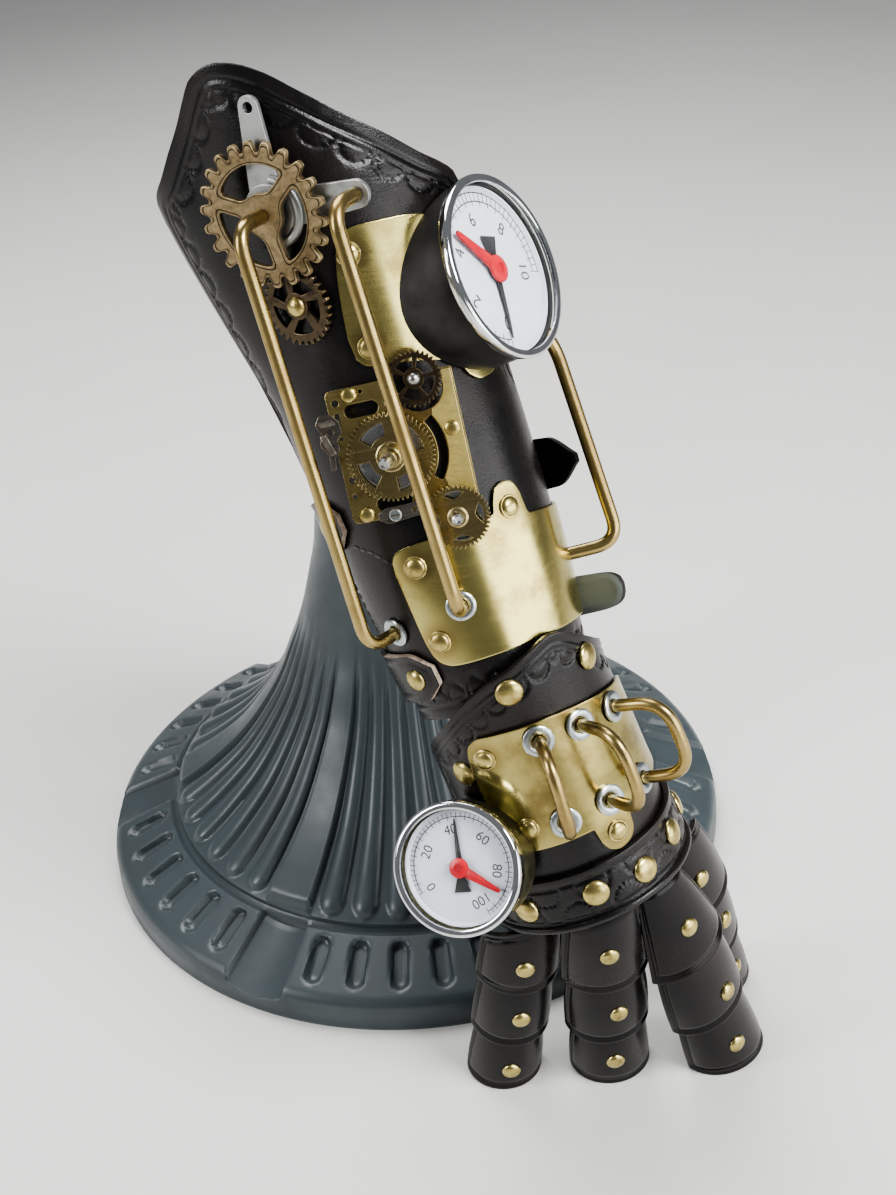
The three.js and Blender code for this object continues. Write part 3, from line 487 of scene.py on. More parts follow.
DARK_BRONZE = Metal("dark_bronze_cast", Slot.DARK_BRONZE, (0.095, 0.071, 0.045), (0.032, 0.025, 0.018),
                    (0.26, 0.2, 0.12), smooth=0.32, dull=0.5, cloud=300.0)
ENGRAVING = Metal("engraved_lines", Slot.DARK_BRONZE, (0.022, 0.016, 0.01), (0.01, 0.008, 0.006),
                  (0.05, 0.04, 0.026), smooth=0.5, dull=0.7, cloud=300.0)
STEEL = Metal("steel_bright", Slot.STEEL, (0.42, 0.42, 0.415), (0.22, 0.215, 0.205), (0.62, 0.62, 0.61),
              smooth=0.24, dull=0.4, cloud=160.0)
OLD_STEEL = Metal("steel_aged", Slot.STEEL, (0.17, 0.153, 0.135), (0.07, 0.06, 0.05), (0.42, 0.39, 0.35),
                  smooth=0.34, dull=0.52, cloud=320.0, clouds_from=0.36)
CRANK_STEEL = Metal("steel_crank", Slot.STEEL, (0.36, 0.37, 0.36), (0.24, 0.24, 0.23), (0.56, 0.56, 0.55),
                    smooth=0.42, dull=0.56, cloud=120.0)
ZINC = Metal("steel_zinc", Slot.STEEL, (0.42, 0.46, 0.47), (0.28, 0.32, 0.33), (0.66, 0.68, 0.68),
             smooth=0.26, dull=0.42, cloud=220.0)
CHROME = Metal("chrome_ring", Slot.CHROME, (0.74, 0.75, 0.76), (0.56, 0.57, 0.59), (0.9, 0.9, 0.9),
               smooth=0.06, dull=0.14, cloud=120.0, brush_strength=0.02)
SLATE = Moulded("slate_moulding", Slot.SLATE, (0.048, 0.062, 0.068), (0.036, 0.046, 0.05),
                (0.12, 0.145, 0.155), smooth=0.3, dull=0.46)
CASE_PAINT = Moulded("black_case_paint", Slot.CASE, (0.008, 0.008, 0.008), (0.013, 0.0125, 0.012),
                     (0.045, 0.043, 0.04), smooth=0.34, dull=0.48, gloss=0.13)
# Grey-blue dial: partly its own tint, partly painted shade from the deep bezel over the whole face.
DIAL_WHITE_SHADED = Moulded("dial_enamel_shaded", Slot.DIAL, (0.47, 0.49, 0.545), (0.42, 0.44, 0.49), (0.55, 0.57, 0.61),
                     smooth=0.45, texture_strength=0.04)
DIAL_INK = Moulded("dial_ink", Slot.BLACK, (0.012, 0.012, 0.014), (0.03, 0.03, 0.035), (0.03, 0.03, 0.03),
                   smooth=0.5, dull=0.7, cloud=400.0)
POINTER_BLACK = Moulded("pointer_black_paint", Slot.BLACK, (0.008, 0.008, 0.009), (0.014, 0.014, 0.014),
                        (0.05, 0.05, 0.05), smooth=0.35, dull=0.5)
POINTER_RED = Moulded("pointer_red_paint", Slot.RED, (0.33, 0.002, 0.009), (0.25, 0.002, 0.007),
                      (0.42, 0.01, 0.016), smooth=0.3, dull=0.42, cloud=120.0)
THREAD = Moulded("waxed_thread", Slot.LEATHER, (0.03, 0.028, 0.026), (0.055, 0.05, 0.045),
                 (0.09, 0.085, 0.08), smooth=0.5, dull=0.7, cloud=300.0)
CLEAR_LENS = Glass("clear_lens_glass", Slot.LENS)
GROUND = Moulded("pale_floor", None, (0.7, 0.69, 0.67), (0.65, 0.64, 0.62), (0.75, 0.74, 0.72), smooth=0.7,
                 dull=0.85, cloud=2.0, texture=120.0)


# Curves and outlines

def fair(table_x: Sequence[float], table_y: Sequence[float], at: Array) -> Array:
    """Reads a smooth curve through a table that never overshoots it.

    Args:
        table_x: Rising places.
        table_y: Value at each place.
        at: Where to read.

    Returns:
        The values there.
    """
    xs, ys, at = np.asarray(table_x, float), np.asarray(table_y, float), np.asarray(at, float)
    step = np.diff(xs)
    slope = np.diff(ys) / step
    both = slope[:-1] * slope[1:]
    mean = np.divide(2 * both, slope[:-1] + slope[1:], out=np.zeros_like(both), where=both > 0)
    tangent = np.concatenate(([slope[0]], mean, [slope[-1]]))
    i = np.clip(np.searchsorted(xs, at) - 1, 0, len(step) - 1)
    t = np.clip((at - xs[i]) / step[i], -0.3, 1.3)
    rise = ys[i] * (1 + 2 * t) * (1 - t) ** 2 + ys[i + 1] * t * t * (3 - 2 * t)
    return rise + step[i] * (tangent[i] * t * (1 - t) ** 2 + tangent[i + 1] * t * t * (t - 1))


def arc(x: float, y: float, radius: float, start: float, end: float, steps: int = 12) -> Loop:
    """Points on an arc round (x, y), from one angle in degrees to another."""
    turns = np.radians(np.linspace(start, end, steps + 1))
    return [(x + radius * math.cos(turn), y + radius * math.sin(turn)) for turn in turns]


def disc(x: float, y: float, radius: float, steps: int = 24) -> Loop:
    """A round outline."""
    return arc(x, y, radius, 0.0, 360.0, steps)[:-1]


def rounded(x: float, y: float, width: float, height: float, corner: float) -> Loop:
    """A rectangle round (x, y) with round corners."""
    dx, dy = width / 2 - corner, height / 2 - corner
    return [spot for across, up, turn in ((dx, dy, 0), (-dx, dy, 90), (-dx, -dy, 180), (dx, -dy, 270))
            for spot in arc(x + across, y + up, corner, turn, turn + 90, 6)]


def sector(inner: float, outer: float, start: float, end: float, steps: int = 14) -> Loop:
    """A window between two arcs round the origin."""
    return arc(0, 0, outer, start, end, steps) + arc(0, 0, inner, end, start, steps)


def toothed(count: int, root: float, tip: float, tooth: Tooth) -> Loop:
    """The outline of a toothed wheel."""
    heights = tooth.value * count
    return [polar(root + (tip - root) * height, i * 360 / len(heights)) for i, height in enumerate(heights)]


def grown(loop: Loop, share: float) -> Loop:
    """A loop scaled about its middle."""
    x, y = (sum(axis) / len(loop) for axis in zip(*loop))
    return [(x + (px - x) * share, y + (py - y) * share) for px, py in loop]


def softened(loop: Sequence[Spot], reach: float, step: float = 0.35) -> Loop:
    """Rounds the corners of a closed loop.

    Args:
        loop: The loop.
        reach: How far along the loop each place is averaged with its neighbours.
        step: Spacing of the new points.

    Returns:
        The rounded loop.
    """
    spots = np.array([*loop, loop[0]])
    run = np.concatenate(([0], np.cumsum(np.linalg.norm(np.diff(spots, axis=0), axis=1))))
    even = np.arange(0, run[-1], step)
    fine = np.stack([np.interp(even, run, axis) for axis in spots.T], 1)
    wide = round(reach / step)
    soft = sum(np.roll(fine, move, axis=0) for move in range(-wide, wide + 1)) / (2 * wide + 1)
    return [(float(x), float(y)) for x, y in soft]


def turned(degrees: float, axis: str = "Z") -> Matrix:
    """Turns round an axis."""
    return Matrix.Rotation(math.radians(degrees), 4, axis)


def leaning(degrees: float, way: float) -> Matrix:
    """Tilts an upright by some degrees towards a way in the plane, itself in degrees."""
    turn = math.radians(way)
    return Matrix.Rotation(math.radians(degrees), 4, Vector((-math.sin(turn), math.cos(turn), 0)))


def raised(height: float) -> Matrix:
    """Lifts along z."""
    return Matrix.Translation((0, 0, height))


def polar(radius: float, degrees: float) -> Spot:
    """A place at a radius and an angle round the origin."""
    turn = math.radians(degrees)
    return radius * math.cos(turn), radius * math.sin(turn)


def axes_of(side: Vector, up: Vector, out: Vector) -> Matrix:
    """Axes with these three ways as x, y and z."""
    return Matrix((side, up, out)).transposed().to_4x4()


def link(start: Spot, start_radius: float, end: Spot, end_radius: float) -> Loop:
    """A bar with round ends of two sizes."""
    turn = math.degrees(math.atan2(end[1] - start[1], end[0] - start[0]))
    return arc(*end, end_radius, turn - 90, turn + 90) + arc(*start, start_radius, turn + 90, turn + 270)


def bent(corners: Sequence[Vector], bend: float, steps: int = 10) -> list[Vector]:
    """A path of straight stretches with rounded corners.

    Args:
        corners: The path's ends and the corners between them.
        bend: How far from a corner the rounding starts.
        steps: Points in each rounding.

    Returns:
        Points along the path.
    """
    path = [corners[0]]
    for before, corner, after in zip(corners, corners[1:], corners[2:]):
        start = corner - (corner - before).normalized() * bend
        end = corner + (after - corner).normalized() * bend
        for share in np.linspace(0, 1, steps + 1):
            path.append(start.lerp(corner, share).lerp(corner.lerp(end, share), share))
    return [*path, corners[-1]]


def edge_distance(spots: Array, outline: Array) -> tuple[Array, Array]:
    """Measures how far points on a flat pattern are from its cut edge.

    Args:
        spots: Points, one in each row.
        outline: Closed outline, one point in each row.

    Returns:
        The distance of each point, and how far along the edge its nearest place is.
    """
    start, end = outline, np.roll(outline, -1, axis=0)
    span = end - start
    length = np.maximum(np.linalg.norm(span, axis=1), 1e-9)
    before = np.concatenate(([0.0], np.cumsum(length)[:-1]))
    near, run = [], []
    for block in np.array_split(spots, max(1, len(spots) // 3000)):
        offset = block[:, None, :] - start[None]
        share = np.clip((offset * span).sum(2) / length**2, 0, 1)
        gap = np.linalg.norm(offset - share[..., None] * span, axis=2)
        best = gap.argmin(axis=1)
        rows = np.arange(len(block))
        near.append(gap[rows, best])
        run.append(before[best] + share[rows, best] * length[best])
    return np.concatenate(near), np.concatenate(run)


# Limbs that carry the pieces

@dataclass(frozen=True)
class Limb:
    """A round limb: where it stands, how it leans, and its outer skin along its axis."""

    middle: Point
    recline: float
    lean: float
    rows: tuple[Point, ...]
    wing_angle: float = -36.0
    wing_spread: float = 26.0

    def frame(self) -> Matrix:
        """Axes of the limb in the row frame, in millimetres."""
        return Matrix.Translation(self.middle) @ turned(self.lean, "Y") @ turned(self.recline, "X")

    def radius(self, angle: Array, along: Array) -> Array:
        """Reads the outer radius.

        Args:
            angle: Degrees round the limb.
            along: Places along its axis.

        Returns:
            The radius at each of them.
        """
        place, radii, flats = zip(*self.rows)
        press = np.exp(-(((angle - self.wing_angle) / self.wing_spread) ** 2))
        return fair(place, radii, along) - fair(place, flats, along) * press

    def skin(self, angle: Array, along: Array, lift: Array | float = 0.0) -> Array:
        """Points on the skin.

        Args:
            angle: Degrees round the limb, 0 at its front.
            along: Places along its axis.
            lift: How far off the skin.

        Returns:
            Points in the limb's axes, one in each row.
        """
        angle, along = np.atleast_1d(np.asarray(angle, float)), np.atleast_1d(np.asarray(along, float))
        turn = np.radians(angle)
        sine, cosine, radius = np.sin(turn), np.cos(turn), self.radius(angle, along)
        swell = (self.radius(angle + 0.5, along) - self.radius(angle - 0.5, along)) / math.radians(1)
        flare = self.radius(angle, along + 0.5) - self.radius(angle, along - 0.5)
        zero = np.zeros_like(radius)
        round_way = np.stack([swell * sine + radius * cosine, radius * sine - swell * cosine, zero], 1)
        up_way = np.stack([flare * sine, -flare * cosine, zero + 1], 1)
        out = np.cross(round_way, up_way)
        out /= np.linalg.norm(out, axis=1)[:, None]
        base = np.stack([radius * sine, -radius * cosine, along], 1)
        return base + out * np.broadcast_to(lift, radius.shape)[:, None]

    def point(self, angle: float, along: float, lift: float = 0.0) -> Vector:
        """One point off the skin, in the limb's axes."""
        return Vector(self.skin(angle, along, lift)[0])

    def seat(self, angle: float, along: float, lift: float = 0.0) -> Matrix:
        """Finds the axes of a place on the skin.

        Args:
            angle: Degrees round the limb.
            along: Place along its axis.
            lift: How far off the skin.

        Returns:
            Axes with x round the limb, y along it and z out of it.
        """
        out = (self.point(angle, along, 1.0) - self.point(angle, along)).normalized()
        up = self.point(angle, along + 0.5) - self.point(angle, along - 0.5)
        side = up.cross(out).normalized()
        return Matrix.Translation(self.point(angle, along, lift)) @ axes_of(side, out.cross(side), out)


FOREARM = Limb((40.5, -150.0, 183.0), -22.8, -17.3, (
    (-6, 32.6, 0), (0, 33.2, 0), (40, 37.5, 0), (80, 40, 0), (110, 41.5, 0.6),
    (125, 44, 2.5), (145, 48, 6), (175, 53.5, 8), (197, 57, 8), (225, 62, 8),
))
HAND_ROWS = ((-10, 37, 0), (24, 37, 0), (50, 36.2, 0), (76, 36, 0), (92, 36.6, 0), (112, 38, 0))
HAND = Limb((70.0, -168.5, 98.0), -11.7, -18.2, HAND_ROWS)
BAND = Limb(HAND.middle, HAND.recline, HAND.lean, ((0, 40.6, 0), (24, 39.7, 0)))


@dataclass(frozen=True)
class StrapPath:
    """A strap's way round the back of the forearm, with a straight tail where it leaves the arm."""

    lift: float = 0.7
    leave: float = -222.0

    def skin(self, angle: Array, along: Array, lift: Array | float = 0.0) -> Array:
        """Points on or off the strap's inner face, as for a limb.

        Args:
            angle: Degrees round the forearm.
            along: Places along its axis.
            lift: How far off the face.

        Returns:
            Points in the forearm's axes, one in each row.
        """
        place, radii, _ = zip(*FOREARM.rows)
        radius = fair(place, radii, along) + self.lift
        held = np.radians(np.maximum(angle, self.leave))
        free = np.radians(np.minimum(angle - self.leave, 0)) * radius
        out = np.stack([np.sin(held), -np.cos(held)], 1)
        base = out * (radius + lift)[:, None] + np.stack([np.cos(held), np.sin(held)], 1) * free[:, None]
        return np.column_stack([base, along])


@dataclass(frozen=True)
class Tooling:
    """Lines and stamped shells pressed into leather along its cut edge, in millimetres."""

    lines: tuple[float, ...] = (4.4,)
    line_width: float = 0.75
    line_depth: float = 0.55
    shell_at: float = 7.2
    shell_pitch: float = 11.4
    shell_radius: float = 4.9
    shell_depth: float = 0.42
    flutes: float = 14.0
    flute_depth: float = 0.6
    reach: float = 15.0

    def relief(self, near: Array, run: Array) -> Array:
        """Depth pressed into the leather, as a negative lift.

        Args:
            near: Distance from the cut edge.
            run: Place along the edge.

        Returns:
            Lift at each point.
        """
        pressed = sum(self.line_depth * np.exp(-(((near - line) / self.line_width) ** 2))
                      for line in self.lines)
        if self.shell_depth:
            across = ((run / self.shell_pitch) % 1 - 0.5) * self.shell_pitch
            inward = near - self.shell_at
            away, turn = np.hypot(across, inward), np.arctan2(inward, across)
            side = 1 / (1 + np.exp(-inward / 0.25))
            rim = np.exp(-(((away - self.shell_radius) / 0.65) ** 2))
            bowl = (away / self.shell_radius) ** 2 / (1 + np.exp((away - self.shell_radius) / 0.25))
            fan = 0.5 + 0.5 * np.cos(self.flutes * turn)
            pressed = pressed + side * (self.shell_depth * rim + self.flute_depth * bowl * fan)
            pressed = pressed + 0.35 * np.exp(-((inward / 0.5) ** 2)) * (away < self.shell_radius)
        return -pressed


@dataclass(frozen=True)
class Pattern:
    """A flat cutting pattern: for each angle round a limb, where the sheet starts and ends along it."""

    columns: tuple[Point, ...]
    per_degree: float

    def ends(self, angle: Array) -> tuple[Array, Array]:
        """Lower and upper end at each angle."""
        angles, lows, highs = zip(*self.columns)
        return fair(angles, lows, angle), fair(angles, highs, angle)

    def outline(self) -> Array:
        """Draws the closed cut edge on the flat pattern.

        Returns:
            Its points, one in each row.
        """
        angle = np.linspace(self.columns[0][0], self.columns[-1][0], 500)
        low, high = (np.stack([angle * self.per_degree, end], 1) for end in self.ends(angle))
        return np.concatenate([low, high[::-1]])

    def grid(self, cell: float, band: float = 0.0, cuts: int = 0) -> Sheet:
        """Cuts the sheet as a flat grid.

        Args:
            cell: Size of a cell.
            band: How far from the edge the cells are split finer.
            cuts: Cuts in each finer edge.

        Returns:
            The flat mesh, with x across the pattern and y along the limb.
        """
        first, last = self.columns[0][0], self.columns[-1][0]
        tall = max(high - low for _, low, high in self.columns)
        bm = bmesh.new()
        across, up = (math.ceil(size / cell) for size in ((last - first) * self.per_degree, tall))
        bmesh.ops.create_grid(bm, x_segments=across, y_segments=up, size=0.5)
        share = coordinates(bm)[:, :2] + 0.5
        angle = first + (last - first) * share[:, 0]
        low, high = self.ends(angle)
        flat = np.stack([angle * self.per_degree, low + (high - low) * share[:, 1], 0 * angle], 1)
        set_coordinates(bm, flat)
        if cuts:
            near, _ = edge_distance(flat[:, :2], self.outline())
            edges = [edge for edge in bm.edges if all(near[vert.index] < band for vert in edge.verts)]
            bmesh.ops.subdivide_edges(bm, edges=edges, cuts=cuts, use_grid_fill=True)
        return bm


def coordinates(bm: Sheet) -> Array:
    """Places of all vertices, one in each row."""
    bm.verts.index_update()
    return np.array([vert.co for vert in bm.verts])


def set_coordinates(bm: Sheet, places: Array) -> None:
    """Moves all vertices to the places in the rows."""
    for vert, place in zip(bm.verts, places):
        vert.co = place


# Meshes on the bench

class Blank:
    """A mesh on the bench, in millimetres, that operators shape until it is kept."""

    def __init__(self, bm: Sheet | None = None) -> None:
        """Starts empty, or from a mesh made before."""
        self.bm = bm or bmesh.new()

    def _settle(self, before: set, place: Matrix) -> "Blank":
        """Merges doubles in the shape made last, turns its faces outward and moves it.

        Args:
            before: The vertices made before it.
            place: Where it goes.

        Returns:
            This blank.
        """
        fresh = [vert for vert in self.bm.verts if vert not in before]
        bmesh.ops.remove_doubles(self.bm, verts=fresh, dist=1e-4)
        fresh = [vert for vert in self.bm.verts if vert not in before]
        faces = {face for vert in fresh for face in vert.link_faces}
        bmesh.ops.recalc_face_normals(self.bm, faces=list(faces))
        bmesh.ops.transform(self.bm, matrix=place, verts=fresh)
        return self

    def turn(self, profile: Sequence[Spot], steps: int = 48, place: Matrix = IDENTITY) -> "Blank":
        """Turns a closed profile of (radius, height) round the z axis.

        Args:
            profile: The profile, from pole to pole or back to its start.
            steps: Steps round the axis.
            place: Where the turned shape goes.

        Returns:
            This blank.
        """
        before = set(self.bm.verts)
        verts = [self.bm.verts.new((radius, 0, height)) for radius, height in profile]
        edges = [self.bm.edges.new(pair) for pair in zip(verts, verts[1:])]
        bmesh.ops.spin(self.bm, geom=verts + edges, cent=(0, 0, 0), axis=(0, 0, 1), angle=2 * math.pi,
                       steps=steps, use_merge=True)
        return self._settle(before, place)

    def stamp(self, loops: Sequence[Loop], thickness: float, bevel: float = 0.2,
              place: Matrix = IDENTITY) -> "Blank":
        """Stamps a flat piece with windows out of sheet, with its foot at z = 0.

        Args:
            loops: Its outline and its windows.
            thickness: Thickness of the sheet.
            bevel: Rounding of its edges.
            place: Where the stamping goes.

        Returns:
            This blank.
        """
        curve = bpy.data.curves.new("stamping", "CURVE")
        curve.dimensions, curve.fill_mode = "2D", "BOTH"
        curve.extrude, curve.bevel_depth, curve.offset = thickness / 2 - bevel, bevel, -bevel
        curve.bevel_resolution = 1
        for loop in loops:
            spline = curve.splines.new("POLY")
            spline.points.add(len(loop) - 1)
            for corner, (x, y) in zip(spline.points, loop):
                corner.co = (x, y, 0, 1)
            spline.use_cyclic_u = True
        return self._take(curve, place @ raised(thickness / 2))

    def numeral(self, text: str, size: float, thickness: float, place: Matrix) -> "Blank":
        """Adds a printed number.

        Args:
            text: Its digits.
            size: Its height.
            thickness: Thickness of the ink.
            place: Where its middle goes.

        Returns:
            This blank.
        """
        font = bpy.data.curves.new("numeral", "FONT")
        font.body, font.size, font.extrude = text, size, thickness / 2
        font.align_x, font.align_y = "CENTER", "CENTER"
        return self._take(font, place @ raised(thickness / 2))

    def _take(self, curve: bpy.types.Curve, place: Matrix) -> "Blank":
        """Makes a curve into mesh, adds it to the blank and drops the curve.

        Args:
            curve: The curve.
            place: Where its mesh goes.

        Returns:
            This blank.
        """
        before = set(self.bm.verts)
        holder = bpy.data.objects.new(curve.name, curve)
        mesh = bpy.data.meshes.new_from_object(holder)
        self.bm.from_mesh(mesh)
        bpy.data.objects.remove(holder)
        bpy.data.curves.remove(curve)
        bpy.data.meshes.remove(mesh)
        return self._settle(before, place)

    def rod(self, path: Sequence[Vector], radius: float, sides: int = 20) -> "Blank":
        """Draws a round rod along a path, with closed ends.

        Args:
            path: Points along its middle.
            radius: Radius of the rod.
            sides: Sides of its section.

        Returns:
            This blank.
        """
        way = (path[1] - path[0]).normalized()
        ring = bmesh.ops.create_circle(self.bm, cap_ends=True, radius=radius, segments=sides)["verts"]
        turn = Vector((0, 0, -1)).rotation_difference(-way).to_matrix().to_4x4()
        bmesh.ops.transform(self.bm, matrix=Matrix.Translation(path[0]) @ turn, verts=ring)
        faces = {face for vert in ring for face in vert.link_faces}
        bmesh.ops.reverse_faces(self.bm, faces=list(faces))
        edges = list({edge for vert in ring for edge in vert.link_edges})
        for i in range(1, len(path)):
            after = path[min(i + 1, len(path) - 1)] - path[i - 1]
            made = bmesh.ops.extrude_edge_only(self.bm, edges=edges)["geom"]
            ring = [part for part in made if isinstance(part, bmesh.types.BMVert)]
            held = set(ring)
            edges = [part for part in made
                     if isinstance(part, bmesh.types.BMEdge) and held.issuperset(part.verts)]
            turn = way.rotation_difference(after.normalized()).to_matrix().to_4x4()
            move = Matrix.Translation(path[i]) @ turn @ Matrix.Translation(-path[i - 1])
            bmesh.ops.transform(self.bm, matrix=move, verts=ring)
            way = after.normalized()
        bmesh.ops.contextual_create(self.bm, geom=edges)
        bmesh.ops.recalc_face_normals(self.bm, faces=self.bm.faces)
        return self

    def dome(self, place: Matrix, radius: float, height: float, steps: int = 20) -> "Blank":
        """Adds a domed rivet head that stands on its place."""
        crown = [(radius * x, height * y) for x, y in arc(0, 0, 1, 8, 90, 6)[:-1]]
        return self.turn([(0, -0.5), (radius * 0.94, -0.5), (radius, 0), *crown, (0, height)], steps, place)

    def bar(self, size: Point, bevel: float, place: Matrix) -> "Blank":
        """Adds a block with rounded edges.

        Args:
            size: Its size.
            bevel: Rounding of its edges.
            place: Where its middle goes.

        Returns:
            This blank.
        """
        before = set(self.bm.verts)
        verts = bmesh.ops.create_cube(self.bm, size=1.0)["verts"]
        bmesh.ops.scale(self.bm, vec=size, verts=verts)
        edges = list({edge for vert in verts for edge in vert.link_edges})
        bmesh.ops.bevel(self.bm, geom=edges, offset=bevel, segments=2, profile=0.5, affect="EDGES",
                        material=-1)
        return self._settle(before, place)


class Assembly:
    """Keeps finished pieces: puts each in metres, dresses it and lets it ride on its body."""

    def keep(self, blank: Blank, name: str, finish: Finish, place: Matrix = IDENTITY,
             replaces: Sequence[str] = (), body: Body = Body.GAUNTLET, sharp: float = 38.0) -> Piece:
        """Turns a blank into a piece of the object.

        Args:
            blank: The shaped mesh.
            name: The piece's name.
            finish: Its finish.
            place: The frame it was made in, in millimetres.
            replaces: CAD nodes that it stands for.
            body: The body it rides on.
            sharp: Angle over which an edge stays sharp.

        Returns:
            The piece.
        """
        bmesh.ops.transform(blank.bm, matrix=Matrix.Scale(MM, 4) @ place, verts=blank.bm.verts)
        mesh = bpy.data.meshes.new(name)
        blank.bm.to_mesh(mesh)
        blank.bm.free()
        mesh.shade_smooth()
        mesh.set_sharp_from_angle(angle=math.radians(sharp))
        mesh.materials.append(finish.material())
        piece = bpy.data.objects.new(name, mesh)
        bpy.context.scene.collection.objects.link(piece)
        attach(piece, body.value)
        if replaces:
            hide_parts(*replaces)
        log.info("%s: %d faces on %s", name, len(mesh.polygons), body.value)
        return piece

    def studs(self, name: str, seats: Iterable[Matrix], size: Spot, place: Matrix) -> None:
        """Sets domed brass rivets as one piece.

        Args:
            name: The piece's name.
            seats: Where the rivets stand.
            size: Radius and height of each.
            place: The frame of the seats, in millimetres.
        """
        blank = Blank()
        for seat in seats:
            blank.dome(seat, *size)
        self.keep(blank, name, RIVET_BRASS, place)

    @staticmethod
    def thicken(piece: Piece, thickness: float, side: Side, edge: float,
                rim: Finish | None = None) -> None:
        """Gives a sheet its thickness and rounds its edges.

        Args:
            piece: The sheet.
            thickness: Thickness in millimetres.
            side: The way it grows.
            edge: Rounding of the edges in millimetres.
            rim: Finish of the cut edge, where it differs.
        """
        wall = piece.modifiers.new("thickness", "SOLIDIFY")
        wall.thickness, wall.offset = thickness * MM, side.value
        if rim:
            piece.data.materials.append(rim.material())
            wall.material_offset_rim = 1
        bevel = piece.modifiers.new("edge", "BEVEL")
        bevel.width, bevel.segments, bevel.limit_method = edge * MM, 2, "ANGLE"
        bevel.angle_limit, bevel.use_clamp_overlap = math.radians(55), True

    @staticmethod
    def tool(bm: Sheet, pattern: Pattern, tooling: Tooling) -> Array:
        """Works out a border on a flat sheet and marks how deep it is pressed.

        Args:
            bm: The flat sheet.
            pattern: Its cutting pattern.
            tooling: The border.

        Returns:
            Lift of each vertex.
        """
        near, run = edge_distance(coordinates(bm)[:, :2], pattern.outline())
        lift = tooling.relief(near, run)
        layer = bm.verts.layers.float.new("pressed")
        for vert, depth in zip(bm.verts, lift):
            # The pressed depth is also the mask of the painted shade in the grooves.
            vert[layer] = min(1.0, -depth / 0.6)
        return lift

    @staticmethod
    def wrap(bm: Sheet, pattern: Pattern, limb: Limb | StrapPath, lift: Array | float) -> Blank:
        """Bends a flat sheet round a limb.

        Args:
            bm: The flat sheet.
            pattern: Its cutting pattern.
            limb: What it goes round.
            lift: How far off the skin.

        Returns:
            The bent sheet.
        """
        flat = coordinates(bm)
        set_coordinates(bm, limb.skin(flat[:, 0] / pattern.per_degree, flat[:, 1], lift + 0 * flat[:, 0]))
        return Blank(bm)


# Stand

